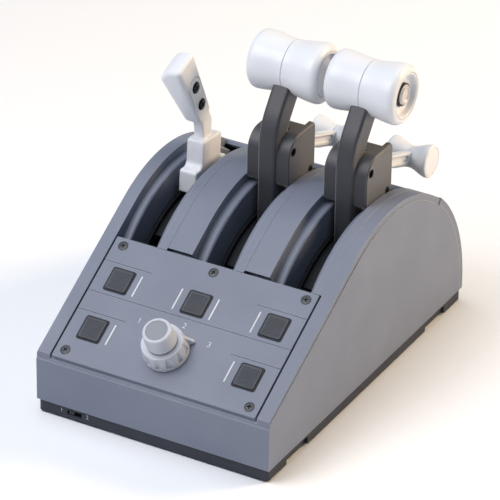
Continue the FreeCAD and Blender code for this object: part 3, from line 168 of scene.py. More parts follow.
def painted_metal(name, body, pale, rim, rough, orange_peel, gloss=0.5, shade=0.0,
                  metallic=0.0, sheen=0.0):
    """Powder paint over metal: orange peel, a thin painted highlight along the edges, and
    painted shade in hollows.
    """
    made, tree, shader, spot = start(name)
    peel = add(tree, "TexVoronoi", {"feature": "SMOOTH_F1"}, Vector=spot,
               Scale=1 / (orange_peel * MM), Smoothness=1.0).outputs["Distance"]
    drift = add(tree, "TexNoise", Vector=spot, Scale=1 / (22 * MM), Detail=4.0).outputs["Fac"]
    soft, turn = edge_catch(tree, 0.5 * MM)
    tone = shades(tree, drift, (0.3, body), (0.75, pale))
    # painted highlight: the rim colour is mixed into the edges where the surface turns sharply
    mixed = add(tree, "MixRGB", Fac=turn, Color1=tone, Color2=linear(rim)).outputs["Color"]
    if shade:
        # painted shade: the colour darkens toward near black in hollows and where parts meet
        hollow = add(tree, "AmbientOcclusion", {"samples": 8}, Distance=7 * MM)
        depth = add(tree, "MapRange", Value=hollow.outputs["AO"], From_Min=0.25,
                    From_Max=0.75, To_Min=shade, To_Max=0.0).outputs["Result"]
        mixed = add(tree, "MixRGB", Fac=depth, Color1=mixed,
                    Color2=linear("#08090b")).outputs["Color"]
    tree.links.new(mixed, shader.inputs["Base Color"])
    tree.links.new(span(tree, drift, rough - 0.06, rough + 0.06), shader.inputs["Roughness"])
    relief = add(tree, "Bump", Height=peel, Distance=0.03 * MM, Strength=0.5, Normal=soft)
    tree.links.new(relief.outputs["Normal"], shader.inputs["Normal"])
    shader.inputs["Specular IOR Level"].default_value = gloss
    shader.inputs["Metallic"].default_value = metallic
    shader.inputs["Sheen Weight"].default_value = sheen
    shader.inputs["Sheen Roughness"].default_value = 0.4
    shader.inputs["Sheen Tint"].default_value = linear("#f3eff0")
    return made


def machined(name, body, pale, rough, line):
    """Turned or drawn metal: fine lines along the bar and a soft bright sheen."""
    made, tree, shader, spot = start(name)
    stretch = add(tree, "Mapping", Vector=spot, Scale=(1 / (4 * MM), 1 / (line * MM),
                                                       1 / (line * MM)))
    lines = add(tree, "TexNoise", Vector=stretch.outputs["Vector"], Scale=1.0,
                Detail=3.0).outputs["Fac"]
    tree.links.new(shades(tree, lines, (0.35, body), (0.7, pale)),
                   shader.inputs["Base Color"])
    tree.links.new(span(tree, lines, rough - 0.08, rough + 0.1), shader.inputs["Roughness"])
    relief = add(tree, "Bump", Height=lines, Distance=0.01 * MM, Strength=0.4)
    tree.links.new(relief.outputs["Normal"], shader.inputs["Normal"])
    shader.inputs["Metallic"].default_value = 1.0
    return made


def moulded_rubber(name, body, pale, rough):
    """Moulded silicone rubber: matt, with a faint dusty bloom and a painted highlight along
    its edges.
    """
    made, tree, shader, spot = start(name)
    bloom = add(tree, "TexNoise", Vector=spot, Scale=1 / (6 * MM), Detail=5.0).outputs["Fac"]
    fine = add(tree, "TexNoise", Vector=spot, Scale=1 / (0.35 * MM)).outputs["Fac"]
    soft, turn = edge_catch(tree, 0.4 * MM)
    tone = shades(tree, bloom, (0.35, body), (0.75, pale))
    # painted highlight: the pale colour is mixed into the edges where the surface turns
    # sharply
    mixed = add(tree, "MixRGB", Fac=turn, Color1=tone, Color2=linear(pale))
    tree.links.new(mixed.outputs["Color"], shader.inputs["Base Color"])
    tree.links.new(span(tree, bloom, rough - 0.05, rough + 0.08), shader.inputs["Roughness"])
    relief = add(tree, "Bump", Height=fine, Distance=0.03 * MM, Strength=0.5, Normal=soft)
    tree.links.new(relief.outputs["Normal"], shader.inputs["Normal"])
    shader.inputs["Sheen Weight"].default_value = 0.15
    return made


def circuit_board(name):
    """Glass-fibre board: green solder resist over copper tracks."""
    made, tree, shader, spot = start(name)
    tracks = add(tree, "TexBrick", {"offset": 0.5}, Vector=spot, Scale=1 / (30 * MM),
                 Color1=linear("#1f6b45"), Color2=linear("#1a5e3c"),
                 Mortar=linear("#2f8458"), Mortar_Size=0.03)
    tree.links.new(tracks.outputs["Color"], shader.inputs["Base Color"])
    weave = add(tree, "TexChecker", Vector=spot, Scale=1 / (0.8 * MM)).outputs["Fac"]
    tree.links.new(span(tree, weave, 0.32, 0.4), shader.inputs["Roughness"])
    return made


FINISHES = {
    # textured ABS: a cool blue-grey that stays matt, with a pale painted highlight along its
    # edges
    "case_grey": moulded("textured_abs_grey", "#757c8d", "#7b8293", "#b4bbca", 0.52, 0.55,
                         0.05, edge=0.5),
    # glass-filled nylon: near black, coarser and duller than the case
    "base_black": moulded("filled_nylon_black", "#2a2e39", "#2f333f", "#464b58", 0.6, 0.7,
                          0.06),
    # matt ABS inside the slots: swallows the light
    "liner_black": moulded("matt_abs_black", "#1c1f26", "#20232b", "#343843", 0.7, 0.6, 0.05),
    # silicone key caps: soft charcoal
    "key_rubber": moulded_rubber("silicone_charcoal", "#40434c", "#51545e", 0.62),
    # powder-painted steel bars and housings: dark slate with a slight sheen, a painted
    # highlight along the edges and painted shade that darkens the hollows and the places where
    # parts meet
    "arm_slate": painted_metal("slate_powder_paint", "#23262f", "#2b2e37", "#8e8d92", 0.55,
                               0.7, gloss=1.0, shade=0.9, metallic=0.15, sheen=1.0),
    # satin ABS grips: cold white with a soft wide highlight
    "grip_white": moulded("satin_abs_white", "#e6e9f0", "#eaedf3", "#f6f7fa", 0.38, 0.8,
                          0.02, coat=0.15),
    # pearl-coloured ABS push buttons: a warm pale grey with a clear gloss
    "grip_button_pearl": moulded("pearl_abs", "#c8c4c6", "#d2ced0", "#e8e6e8", 0.3, 0.8,
                                 0.01, coat=0.3),
    # painted zinc levers: off-white, slightly glossier than the grips
    "lever_white": painted_metal("white_powder_paint", "#e4e7ee", "#eaedf2", "#f8f9fb", 0.36,
                                 1.0),
    # moulded polycarbonate dial: light grey, satin
    "dial_grey": moulded("satin_polycarbonate_grey", "#b9bec9", "#c2c7d1", "#e9ecf1", 0.4,
                         0.6, 0.02, coat=0.1),
    # matt ABS cap in the knob: a mid grey that sets it off from the dial
    "cap_grey": moulded("matt_abs_mid_grey", "#868a94", "#8d919b", "#a4a8b2", 0.55, 0.5,
                        0.03),
    # blackened steel screws: dark with a metallic glint
    "screw_black": painted_metal("blackened_steel", "#3d3f45", "#47494f", "#74767e", 0.45,
                                 0.4, metallic=0.25),
    # black-oxide pins: deep black, only the rim glints
    "oxide_black": machined("black_oxide_steel", "#17181b", "#232428", 0.34, 0.25),
    # drawn steel: bright, with fine lines along the bar
    "steel": machined("drawn_steel", "#a6a9ad", "#c3c5c8", 0.28, 0.15),
    # machined brass: warm yellow with fine turning lines
    "brass": machined("machined_brass", "#b08d4a", "#cdab63", 0.3, 0.2),
    # nylon of the inner pieces: plain black, half matt
    "inner_plastic": moulded("nylon_black_inner", "#26272b", "#2c2d32", "#3c3e44", 0.55, 0.6,
                             0.03),
    # acetal slider: smooth black
    "slider_black": moulded("acetal_black", "#17181b", "#1d1e22", "#3a3c42", 0.35, 0.5, 0.01),
    # glass-fibre board: dark green with paler tracks
    "board_green": circuit_board("glass_fibre_board"),
    # rubber feet: dense black, nearly without shine
    "rubber": moulded_rubber("rubber_black", "#1c1c1e", "#2a2a2c", 0.75),
}
# pad-printed ink: flat white, a little uneven
FINISHES["white_ink"] = painted_metal("pad_printed_white_ink", "#d4d8e0", "#e4e7ec",
                                      "#f0f1f4", 0.5, 0.6)

slot_of = {part["node"]: part["material_slot"] for part in frame["record"]["subparts"]}
for node_name, node in frame["nodes"].items():
    node.data.materials.clear()
    node.data.materials.append(FINISHES[slot_of[node_name]])


# ---------------------------------------------------------------- making pieces
def piece(name, shape, finish, body, smooth=True):
    """Turn a bmesh into a piece that rides on a body; finish names its material slot."""
    bmesh.ops.remove_doubles(shape, verts=shape.verts, dist=1e-6)
    bmesh.ops.recalc_face_normals(shape, faces=shape.faces)
    mesh = bpy.data.meshes.new(name)
    shape.to_mesh(mesh)
    shape.free()
    made = bpy.data.objects.new(name, mesh)
    scene.collection.objects.link(made)
    mesh.materials.append(FINISHES[finish])
    if smooth:
        mesh.shade_smooth()
        mesh.set_sharp_from_angle(angle=SHARP)
    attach(made, body)
    return made


def copies(shape, part, places):
    """Put a copy of one small bmesh at each place of a larger one, then drop the small one."""
    template = bpy.data.meshes.new("template")
    part.to_mesh(template)
    part.free()
    for place in places:
        before = len(shape.verts)
        shape.from_mesh(template)
        shape.verts.ensure_lookup_table()
        bmesh.ops.transform(shape, matrix=place, verts=shape.verts[before:])
    bpy.data.meshes.remove(template)


def corners_in(parts):
    """The corners among the parts that a bmesh step gives back."""
    return [part for part in parts if isinstance(part, bmesh.types.BMVert)]


def cross_reach(angle, arm, half):
    """Distance from the middle of a cross recess to its edge in one direction."""
    along = max(abs(math.cos(angle)), abs(math.sin(angle)))
    beside = min(abs(math.cos(angle)), abs(math.sin(angle)))
    return min(arm / along, half / beside) if beside > 1e-9 else arm / along


HEAD_SIDES = 48
EDGE_SHARE, CROWN_SHARE = 0.12, 0.2     # of the radius: the eased edge, then the crown
RECESS_TAPER = 0.55


def core_face(head):
    """The many-sided face in the middle of a screw head."""
    return [face for face in head.faces if len(face.verts) == HEAD_SIDES][0]


def screw_head(radius, thick, cross, cross_half, deep, crown=0.0):
    """Flat or slightly domed head with a tapered cross recess; its rim is at Z 0."""
    head = bmesh.new()
    bmesh.ops.create_circle(head, cap_ends=True, segments=HEAD_SIDES, radius=radius)
    head.normal_update()
    if head.faces[:][0].normal.z < 0:
        bmesh.ops.reverse_faces(head, faces=head.faces[:])
    bmesh.ops.inset_region(head, faces=list(head.faces), thickness=radius * EDGE_SHARE,
                           depth=crown, use_boundary=True)
    bmesh.ops.inset_region(head, faces=[core_face(head)], thickness=radius * CROWN_SHARE,
                           depth=crown * 0.5)
    core = core_face(head)
    for corner in core.verts:
        angle = math.atan2(corner.co.y, corner.co.x)
        reach = cross_reach(angle, cross, cross_half)
        corner.co.x, corner.co.y = reach * math.cos(angle), reach * math.sin(angle)
    sunk = bmesh.ops.extrude_discrete_faces(head, faces=[core])["faces"][0]
    for corner in sunk.verts:
        corner.co = Vector((corner.co.x * RECESS_TAPER, corner.co.y * RECESS_TAPER, -deep))
    edge = [side for side in head.edges if side.is_boundary]
    skirt = bmesh.ops.extrude_edge_only(head, edges=edge)["geom"]
    for corner in corners_in(skirt):
        corner.co.z -= thick
    bmesh.ops.edgeloop_fill(head, edges=[side for side in head.edges if side.is_boundary])
    return head


# ---------------------------------------------------------------- the panel
KEY_HALF_WIDE, KEY_HALF_LONG, KEY_RISE = 6.75 * MM, 7.15 * MM, 1.0 * MM
HATCH_MARGIN, HATCH_GROOVE, HATCH_RISE = 0.9 * MM, 0.28 * MM, 0.3 * MM
FRAME_REACH, FRAME_CORNER = 1.3 * MM, 1.6 * MM
FRAME_WIDE, FRAME_THICK, FRAME_LIFT = 1.2 * MM, 0.5 * MM, 0.25 * MM


def key_place(number, out):
    """Middle of a key's top, from the highest edge of its CAD solid."""
    low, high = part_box("panel_button_%d" % number)
    crest = high.z - PLATE_FOOT.z - KEY_RISE * math.cos(SLOPE)
    return on_plate((low.x + high.x) / 2, crest / math.sin(SLOPE) - KEY_HALF_LONG, out)


def key_pad(number):
    """Cross-hatched top of a key: rows of small blunt pyramids."""
    shape = bmesh.new()
    bmesh.ops.create_grid(shape, x_segments=11, y_segments=12, size=0.5)
    bmesh.ops.scale(shape, vec=(2 * (KEY_HALF_WIDE - HATCH_MARGIN),
                                2 * (KEY_HALF_LONG - HATCH_MARGIN), 1), verts=shape.verts)
    bmesh.ops.inset_individual(shape, faces=shape.faces, thickness=HATCH_GROOVE,
                               depth=HATCH_RISE)
    edge = [side for side in shape.edges if side.is_boundary]
    skirt = bmesh.ops.extrude_edge_only(shape, edges=edge)["geom"]
    for corner in corners_in(skirt):
        corner.co.z -= HATCH_RISE
    bmesh.ops.transform(shape, matrix=key_place(number, KEY_RISE), verts=shape.verts)
    piece("key_pad_%d" % number, shape, "key_rubber", "key_%d" % number, smooth=False)


def key_frame(number):
    """Thin dark frame that lines the window round a key."""
    shape = bmesh.new()
    bmesh.ops.create_grid(shape, x_segments=1, y_segments=1, size=0.5)
    outer = (2 * (KEY_HALF_WIDE + FRAME_REACH), 2 * (KEY_HALF_LONG + FRAME_REACH), 1)
    bmesh.ops.scale(shape, vec=outer, verts=shape.verts)
    bmesh.ops.bevel(shape, geom=list(shape.verts), offset=FRAME_CORNER, segments=5,
                    affect="VERTICES", profile=0.5, material=-1, offset_type="OFFSET")
    bmesh.ops.inset_region(shape, faces=list(shape.faces), thickness=FRAME_WIDE,
                           use_boundary=True)
    inner = max(shape.faces, key=lambda face: len(face.verts))
    bmesh.ops.delete(shape, geom=[inner], context="FACES")
    bmesh.ops.solidify(shape, geom=list(shape.faces), thickness=FRAME_THICK)
    bmesh.ops.transform(shape, matrix=key_place(number, FRAME_LIFT), verts=shape.verts)
    piece("key_frame_%d" % number, shape, "liner_black", "case", smooth=False)


for key in range(1, 6):
    key_pad(key)
    key_frame(key)

# cross-head screws in the corners and the top middle of the panel
HEAD, HEAD_PROUD = 3.25 * MM, 0.1 * MM
group_low, group_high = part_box("panel_screws")
SCREW_COLUMN = group_high.x - HEAD
SCREW_TOP = (group_high.z - PLATE_FOOT.z) / math.sin(SLOPE) - HEAD
SCREW_LOW = (group_low.y - PLATE_FOOT.y) / math.cos(SLOPE) + HEAD
screw_places = [on_plate(SCREW_COLUMN * side, SCREW_TOP, HEAD_PROUD) for side in (-1, 0, 1)]
screw_places += [on_plate(SCREW_COLUMN * side, SCREW_LOW, HEAD_PROUD) for side in (-1, 1)]
screws = bmesh.new()
copies(screws, screw_head(HEAD, 1.6 * MM, 1.75 * MM, 0.36 * MM, 1.2 * MM, crown=0.2 * MM),
       [place @ Matrix.Rotation(0.5 + 0.7 * turn, 4, "Z")
        for turn, place in enumerate(screw_places)])
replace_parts(piece("panel_screw_heads", screws, "screw_black", "case"), "panel_screws")


# ---------------------------------------------------------------- prints
INK = 0.04 * MM
TICK_WIDE = 1.0 * MM


def tick_lines():
    """White lines printed beside the keys."""
    shape = bmesh.new()
    upper, lower = (67.0 * MM, 52.0 * MM), (31.0 * MM, 16.5 * MM)
    lines = [(across * MM, upper) for across in (-41.0, -13.0, 12.2, 40.4)]
    lines += [(across * MM, lower) for across in (-40.9, 40.4)]
    for across, (top, foot) in lines:
        bar = bmesh.new()
        bmesh.ops.create_cube(bar, size=1.0)
        bmesh.ops.scale(bar, vec=(TICK_WIDE, top - foot, 2 * INK), verts=bar.verts)
        copies(shape, bar, [on_plate(across, (top + foot) / 2)])
    piece("panel_tick_lines", shape, "white_ink", "case", smooth=False)


def number_print(name, text, high, place):
    """A plain printed number, centred at a place."""
    curve = bpy.data.curves.new(name + "_curve", "FONT")
    curve.body = text
    curve.size = high
    curve.extrude = INK
    curve.align_x, curve.align_y = "CENTER", "CENTER"
    writer = bpy.data.objects.new(name + "_writer", curve)
    scene.collection.objects.link(writer)
    bpy.context.view_layer.update()
    mesh = bpy.data.meshes.new_from_object(writer.evaluated_get(
        bpy.context.evaluated_depsgraph_get()))
    bpy.data.objects.remove(writer)
    bpy.data.curves.remove(curve)
    shape = bmesh.new()
    shape.from_mesh(mesh)
    bpy.data.meshes.remove(mesh)
    bmesh.ops.transform(shape, matrix=place, verts=shape.verts)
    piece(name, shape, "white_ink", "case", smooth=False)


tick_lines()
for text, across, along in (("1", -28.5, 38.5), ("2", 0.0, 43.6), ("3", 20.5, 36.5)):
    number_print("dial_number_" + text, text, 5.2 * MM,
                 on_plate(across * MM, along * MM))

slide = middle("mode_switch_case")
face_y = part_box("base_tray")[0].y
upright = Matrix.Rotation(QUARTER, 4, "X")
for text, offset in (("1", -9.0), ("2", 9.0)):
    spot = Vector((slide.x + offset * MM, face_y, slide.z - 0.4 * MM))
    number_print("mode_number_" + text, text, 3.6 * MM, Matrix.Translation(spot) @ upright)


# ---------------------------------------------------------------- softened arms
def settle(made):
    """Make the result of a piece's modifiers its own mesh."""
    bpy.context.view_layer.update()
    result = bpy.data.meshes.new_from_object(
        made.evaluated_get(bpy.context.evaluated_depsgraph_get()))
    made.modifiers.clear()
    made.data = result
    result.shade_smooth()
    result.set_sharp_from_angle(angle=SHARP)


def carve(made, cutter):
    """Cut a closed bmesh out of a finished piece and keep the result as its mesh."""
    mesh = bpy.data.meshes.new("cutter")
    cutter.to_mesh(mesh)
    cutter.free()
    tool = bpy.data.objects.new("cutter", mesh)
    scene.collection.objects.link(tool)
    step = made.modifiers.new("cut", "BOOLEAN")
    step.operation = "DIFFERENCE"
    step.object = tool
    settle(made)
    bpy.data.objects.remove(tool)


def copy_of(node, name, finish, body):
    """A piece with the shape of a CAD node, to be worked on in its stead."""
    shape = bmesh.new()
    shape.from_mesh(frame["nodes"][node].data)
    return piece(name, shape, finish, body)


def softened(node, radius, finish, body, cell=0.6 * MM):
    """The shape of a CAD piece with its hard edges rounded over."""
    made = copy_of(node, node + "_rounded", finish, body)
    skin = made.modifiers.new("skin", "REMESH")
    skin.mode = "VOXEL"
    skin.voxel_size = cell
    ease = made.modifiers.new("ease", "SMOOTH")
    ease.factor = 0.5
    ease.iterations = round(2 * (radius / cell) ** 2)
    settle(made)
    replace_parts(made, node)


softened("speed_brake_arm", 1.3 * MM, "lever_white", "speed_brake")
for lever in (1, 2):
    softened("thrust_arm_%d" % lever, 1.8 * MM, "arm_slate", "thrust_%d" % lever)


# ---------------------------------------------------------------- turned pieces
def turned(shape, outline, steps=96):
    """Turn an outline of (along X, radius) points round the X axis."""
    corners = [shape.verts.new((along, radius, 0)) for along, radius in outline]
    chain = [shape.edges.new(pair) for pair in zip(corners, corners[1:])]
    bmesh.ops.spin(shape, geom=corners + chain, cent=(0, 0, 0), axis=(1, 0, 0),
                   angle=math.tau, steps=steps, use_merge=True)


def spool_side(half, waist, end, corner, steps=14):
    """Outline of half a spool: sunk seam, smooth flare, rounded rim."""
    seam_wide, seam_deep = 0.2 * MM, 0.7 * MM
    run = half - corner
    line = [(0, waist - seam_deep), (seam_wide, waist - seam_deep),
            (seam_wide, waist - 0.1 * MM), (seam_wide + 0.1 * MM, waist)]
    line += [(seam_wide + (run - seam_wide) * step / steps,
              waist + (end - waist) * math.sin(math.pi / 2 * step / steps) ** 2)
             for step in range(1, steps + 1)]
    line += [(run + corner * math.sin(turn), end - corner * (1 - math.cos(turn)))
             for turn in (math.pi / 2 * step / 6 for step in range(1, 7))]
    return line


def inward(half, steps):
    """Points on an end face, given in millimetres as (in from the end, radius)."""
    return [(half - inset * MM, radius * MM) for inset, radius in steps]


GRIP_WAIST, GRIP_CORNER, GRIP_DROP = 16.9 * MM, 4.2 * MM, 0.4 * MM
GRIP_LEFT_END, GRIP_RIGHT_END = 18.7 * MM, 19.1 * MM
# a fine groove inside the rim, then the lip of the dish down to its floor
GRIP_FACE = ((0, 14.9), (0.7, 14.7), (0.7, 14.3), (0.1, 14.1), (0, 13.7), (0.2, 13.3),
             (1.0, 12.8), (3.2, 12.1), (3.5, 11.6))
BUTTON_WELL = ((3.5, 7.6), (3.9, 7.25), (11, 7.25), (11, 0))
PLAIN_FLOOR = ((3.5, 0),)


def grip(number, outer_side):
    """Spool grip of a thrust lever: dished ends, and a well for the button outside."""
    left, right = "grip_left_%d" % number, "grip_right_%d" % number
    place = (middle(left) + middle(right)) / 2
    half = (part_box(right)[1].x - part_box(left)[0].x) / 2
    shape = bmesh.new()
    for side, end in ((-1, GRIP_LEFT_END), (1, GRIP_RIGHT_END)):
        line = spool_side(half, GRIP_WAIST, end, GRIP_CORNER) + inward(half, GRIP_FACE)
        line += inward(half, BUTTON_WELL if side == outer_side else PLAIN_FLOOR)
        turned(shape, [(side * along, radius) for along, radius in line])
    bmesh.ops.translate(shape, vec=place - Vector((0, 0, GRIP_DROP)), verts=shape.verts)
    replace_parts(piece("grip_spool_%d" % number, shape, "grip_white", "thrust_%d" % number),
                left, right)


KNOB_END, KNOB_WAIST, KNOB_CORNER = 10.7 * MM, 7.1 * MM, 1.3 * MM
# seam of the plate in each end, as (in from the end, in from the rim)
KNOB_SEAM = ((0, 0.1), (0.35, 0.15), (0.35, 0.45), (0.05, 0.5))


def reverse_knob(number):
    """Small spool on the end of a reverse lever, with a plate set in each end."""
    left, right = "reverse_knob_left_%d" % number, "reverse_knob_right_%d" % number
    low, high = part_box(left)[0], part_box(right)[1]
    half, rim = (high.x - low.x) / 2, KNOB_END - KNOB_CORNER
    line = spool_side(half, KNOB_WAIST, KNOB_END, KNOB_CORNER, steps=10)
    line += [(half - inset * MM, rim - inner * MM) for inset, inner in KNOB_SEAM]
    line += [(half, 0)]
    shape = bmesh.new()
    for side in (-1, 1):
        turned(shape, [(side * along, radius) for along, radius in line], steps=64)
    bmesh.ops.translate(shape, vec=(low + high) / 2, verts=shape.verts)
    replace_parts(piece("reverse_spool_%d" % number, shape, "grip_white",
                      "reverse_%d" % number), left, right)


# ---------------------------------------------------------------- reverse levers
PIN_RADIUS = 1.5 * MM
WEB_START, WEB_STOP = 31 * MM, 10 * MM      # clear of the hinge and of the knob
WEB_SIDE, WEB_WIDE, WEB_HIGH = 2.9 * MM, 3.4 * MM, 4.4 * MM
WEB_EASE = 0.06         # of the block's own size
HINGE_HEAD, HINGE_PROUD = 3.0 * MM, 0.2 * MM
JOINING_HEAD, JOINING_PROUD = 2.5 * MM, 2.1 * MM


def pin_line(number):
    """Middle of the hinge pin of a reverse lever."""
    low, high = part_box("reverser_pins_%d" % number)
    return Vector(((low.x + high.x) / 2, low.y + PIN_RADIUS, high.z - PIN_RADIUS))


def web_cutter(place):
    """Block with eased edges that sinks one side of a lever's web."""
    cutter = bmesh.new()
    bmesh.ops.create_cube(cutter, size=1.0)
    bmesh.ops.bevel(cutter, geom=cutter.edges[:], offset=WEB_EASE, segments=2,
                    affect="EDGES", profile=0.5, material=-1)
    bmesh.ops.transform(cutter, matrix=place, verts=cutter.verts)
    return cutter


def reverse_shank(number):
    """Reverse lever with a web sunk between its upper and lower flange."""
    node = "reverse_lever_%d" % number
    made = copy_of(node, node + "_ribbed", "lever_white", "reverse_%d" % number)
    hinge = pin_line(number)
    knob = (middle("reverse_knob_left_%d" % number)
            + middle("reverse_knob_right_%d" % number)) / 2
    run = knob - hinge
    length = run.length - WEB_START - WEB_STOP
    tilt = Matrix.Rotation(math.atan2(run.z, run.y), 4, "X")
    for side in (-1, 1):
        carve(made, web_cutter(
            Matrix.Translation((knob.x + side * WEB_SIDE, hinge.y, hinge.z)) @ tilt
            @ Matrix.Translation((0, WEB_START + length / 2, 0))
            @ Matrix.Diagonal((WEB_WIDE, length, WEB_HIGH, 1))))
    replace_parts(made, node)


def pin_heads(number):
    """Cross heads on both ends of the two pins of a reverser housing."""
    low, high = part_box("reverser_pins_%d" % number)
    joining = Vector((0, high.y - PIN_RADIUS, low.z + PIN_RADIUS))
    heads = bmesh.new()
    for pin, head, proud in ((pin_line(number), HINGE_HEAD, HINGE_PROUD),
                             (joining, JOINING_HEAD, JOINING_PROUD)):
        places = [Matrix.Translation((reach + side * proud, pin.y, pin.z))
                  @ Matrix.Rotation(QUARTER * side, 4, "Y")
                  for side, reach in ((1, high.x), (-1, low.x))]
        copies(heads, screw_head(head, 1.0 * MM, head * 0.6, 0.4 * MM, 0.9 * MM,
                                 crown=0.15 * MM), places)
    piece("pin_heads_%d" % number, heads, "oxide_black", "thrust_%d" % number)


for lever, outside in ((1, -1), (2, 1)):
    grip(lever, outside)
    reverse_knob(lever)
    reverse_shank(lever)
for lever in (1, 2):
    pin_heads(lever)


# ---------------------------------------------------------------- speed brake lever
# the paddle seen from the front, in millimetres (across, up) from the lower screw
PADDLE_OUTLINE = ((-8.3, -13.5), (3.75, -13.5), (3.75, 41.0), (-6.5, 39.5), (-13.8, 30.0))
PADDLE_RIGHT = PADDLE_OUTLINE[1][0] * MM
PADDLE_FOOT, PADDLE_RUN = 13 * MM, 53 * MM
# how far it stands behind and before the blade, at the foot, and how much it gains upward
BEHIND, BEHIND_GAIN = 7.6 * MM, 1.6 * MM
BEFORE, BEFORE_GAIN = 7.0 * MM, 3.6 * MM
CROWN_FROM, CROWN_DROP = 0.7, 1.5 * MM
PADDLE_ROUND = 3.1 * MM
BLADE_RADIUS, POCKET_RADIUS = 6.1 * MM, 6.5 * MM
BLADE_TOP, BLADE_FOOT, BLADE_BACK = 17.6 * MM, 7.2 * MM, 0.4 * MM
POCKET_DEEP, POCKET_PAST, INLAY_DEEP = 0.8 * MM, 6 * MM, 0.9 * MM
BRAKE_PIN, BRAKE_HEAD, BRAKE_PROUD = 2.4 * MM, 3.8 * MM, 0.35 * MM
CROSS_TURN = 0.5        # radians


def blade_end(radius, inner, outer):
    """Flat bar with round ends, standing between two distances along X."""
    shape = bmesh.new()
    bmesh.ops.create_circle(shape, cap_ends=True, segments=48, radius=radius)
    for corner in shape.verts:
        lift = BLADE_TOP if corner.co.y > 0 else -BLADE_FOOT
        corner.co = Vector((inner, corner.co.x - BLADE_BACK, corner.co.y + lift))
    grown = bmesh.ops.extrude_face_region(shape, geom=shape.faces[:],
                                          use_keep_orig=True)["geom"]
    bmesh.ops.translate(shape, vec=(outer - inner, 0, 0), verts=corners_in(grown))
    bmesh.ops.recalc_face_normals(shape, faces=shape.faces)
    return shape


def wedge():
    """Body of the paddle: deeper toward the top, with every edge rounded."""
    shape = bmesh.new()
    bmesh.ops.create_circle(shape, cap_ends=True, segments=len(PADDLE_OUTLINE), radius=1)
    for corner, (across, up) in zip(shape.verts, PADDLE_OUTLINE):
        corner.co = Vector((across * MM, -1, up * MM))
    rear = corners_in(bmesh.ops.extrude_face_region(shape, geom=shape.faces[:],
                                                    use_keep_orig=True)["geom"])
    for corner in shape.verts:
        share = (corner.co.z + PADDLE_FOOT) / PADDLE_RUN
        if corner in rear:
            corner.co.y = BEHIND + BEHIND_GAIN * share
            corner.co.z -= CROWN_DROP if share > CROWN_FROM else 0
        else:
            corner.co.y = -(BEFORE + BEFORE_GAIN * share)
    bmesh.ops.recalc_face_normals(shape, faces=shape.faces)
    bmesh.ops.bevel(shape, geom=shape.edges[:], offset=PADDLE_ROUND, segments=7,
                    affect="EDGES", profile=0.5, material=-1, offset_type="OFFSET",
                    clamp_overlap=True)
    return shape


def brake_paddle(place):
    """The paddle, with the end of the blade in a pocket and a thin gap all round it."""
    body = wedge()
    pocket = blade_end(POCKET_RADIUS, PADDLE_RIGHT - POCKET_DEEP, PADDLE_RIGHT + POCKET_PAST)
    inlay = blade_end(BLADE_RADIUS, PADDLE_RIGHT - INLAY_DEEP, PADDLE_RIGHT)
    for shape in (body, pocket, inlay):
        bmesh.ops.transform(shape, matrix=place, verts=shape.verts)
    made = piece("brake_paddle", body, "grip_white", "speed_brake")
    carve(made, pocket)
    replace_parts(made, "speed_brake_paddle")
    piece("brake_blade_end", inlay, "lever_white", "speed_brake")


def brake_screw_heads(spots):
    """Domed cross heads of the two screws, on the right face of the paddle."""
    heads = bmesh.new()
    facing_right = Matrix.Rotation(QUARTER, 4, "Y")
    for spot in spots:
        place = (Matrix.Translation(spot + Vector((PADDLE_RIGHT, 0, 0)))
                 @ Matrix.Translation((BRAKE_PROUD, 0, 0)) @ facing_right
                 @ Matrix.Rotation(CROSS_TURN, 4, "Z"))
        copies(heads, screw_head(BRAKE_HEAD, 1.0 * MM, 2.2 * MM, 0.5 * MM, 1.0 * MM,
                                 crown=0.45 * MM), [place])
    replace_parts(piece("brake_screw_heads", heads, "oxide_black", "speed_brake"),
                "speed_brake_screws")


def speed_brake():
    """Paddle and screw heads, leaning along the line of the two screws."""
    low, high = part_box("speed_brake_screws")
    across = middle("speed_brake_arm").x
    foot = Vector((across, high.y - BRAKE_PIN, low.z + BRAKE_PIN))
    tip = Vector((across, low.y + BRAKE_PIN, high.z - BRAKE_PIN))
    axis = (tip - foot).normalized()
    brake_paddle(Matrix.Translation(foot)
                 @ Matrix.Rotation(math.atan2(-axis.y, axis.z), 4, "X"))
    brake_screw_heads((foot, tip))


speed_brake()


# ---------------------------------------------------------------- light and floor
def aimed(direction):
    """Turn of a lamp that shines along a direction."""
    return Vector(direction).to_track_quat("-Z", "Y").to_euler()


def lamp(name, kind, energy, colour, turn):
    """Add a lamp; the caller sets what only its kind has."""
    light = bpy.data.lights.new(name, kind)
    light.energy = energy
    light.color = linear(colour)[:3]
    made = bpy.data.objects.new(name, light)
    made.rotation_euler = turn
    scene.collection.objects.link(made)
    return made


def area_light(name, place, aim, size, power, colour):
    """Round soft light at a place, shining at another."""
    made = lamp(name, "AREA", power, colour, aimed(Vector(aim) - Vector(place)))
    made.location = place
    made.data.shape = "DISK"
    made.data.size = size


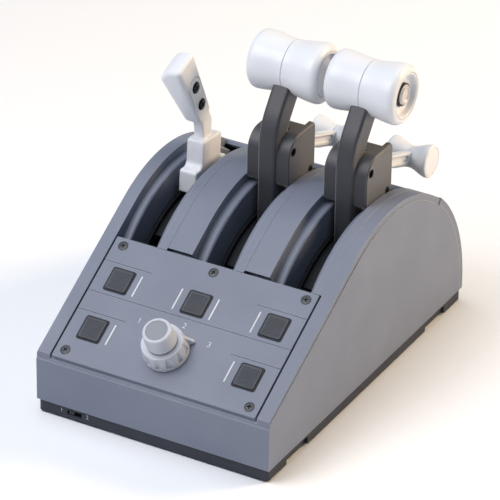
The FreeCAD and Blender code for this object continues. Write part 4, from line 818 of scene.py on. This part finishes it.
area_light("key_warm", (1.45, 1.35, 0.95), (0, 0, 0.10), 1.0, 44, "#ffe0b8")
area_light("near_front", (-0.25, -0.45, 0.75), (0, 0, 0.15), 0.5, 3.6, "#fff8fa")
# broad light from above, for the pale tops
lamp("top_soft", "SUN", 1.47, "#f9fdff", aimed((0.25, 0.08, -1))).data.angle = math.radians(60)

world = bpy.data.worlds.new("pale_room")
scene.world = world
world.use_nodes = True
world.node_tree.nodes["Background"].inputs["Color"].default_value = linear("#d2edff")
world.node_tree.nodes["Background"].inputs["Strength"].default_value = 0.16


def white_floor():
    """Sheet of matt white paper under the base."""
    shape = bmesh.new()
    bmesh.ops.create_grid(shape, x_segments=1, y_segments=1, size=6.0)
    mesh = bpy.data.meshes.new("floor")
    shape.to_mesh(mesh)
    shape.free()
    sheet = bpy.data.objects.new("floor", mesh)
    scene.collection.objects.link(sheet)
    # matt paper: an even white, almost without shine
    paper, _, shader, _ = start("matt_paper_white")
    shader.inputs["Base Color"].default_value = linear("#f7f9fd")
    shader.inputs["Roughness"].default_value = 0.9
    mesh.materials.append(paper)


white_floor()

# ---------------------------------------------------------------- camera
# it looks down from the front right
AZIMUTH, ELEVATION, ROLL = math.radians(29.14), math.radians(29.6), math.radians(-0.84)
DISTANCE, FOCAL, SENSOR = 2.30994, 274.43, 36.0
AIM = Vector((0.00179, -0.01117, 0.07971))


def place_camera():
    """Set the camera on a line from what it aims at, slightly rolled."""
    back = Vector((math.sin(AZIMUTH) * math.cos(ELEVATION),
                   -math.cos(AZIMUTH) * math.cos(ELEVATION), math.sin(ELEVATION)))
    level = Vector((math.cos(AZIMUTH), math.sin(AZIMUTH), 0))
    right = level * math.cos(ROLL) - back.cross(level) * math.sin(ROLL)
    view = Matrix((right, back.cross(right), back)).transposed().to_4x4()
    view.translation = AIM + back * DISTANCE
    lens = bpy.data.cameras.new("camera")
    lens.sensor_width = SENSOR
    lens.lens = FOCAL
    camera = bpy.data.objects.new("camera", lens)
    camera.matrix_world = view
    scene.collection.objects.link(camera)
    scene.camera = camera


place_camera()
scene.view_settings.view_transform = "Standard"
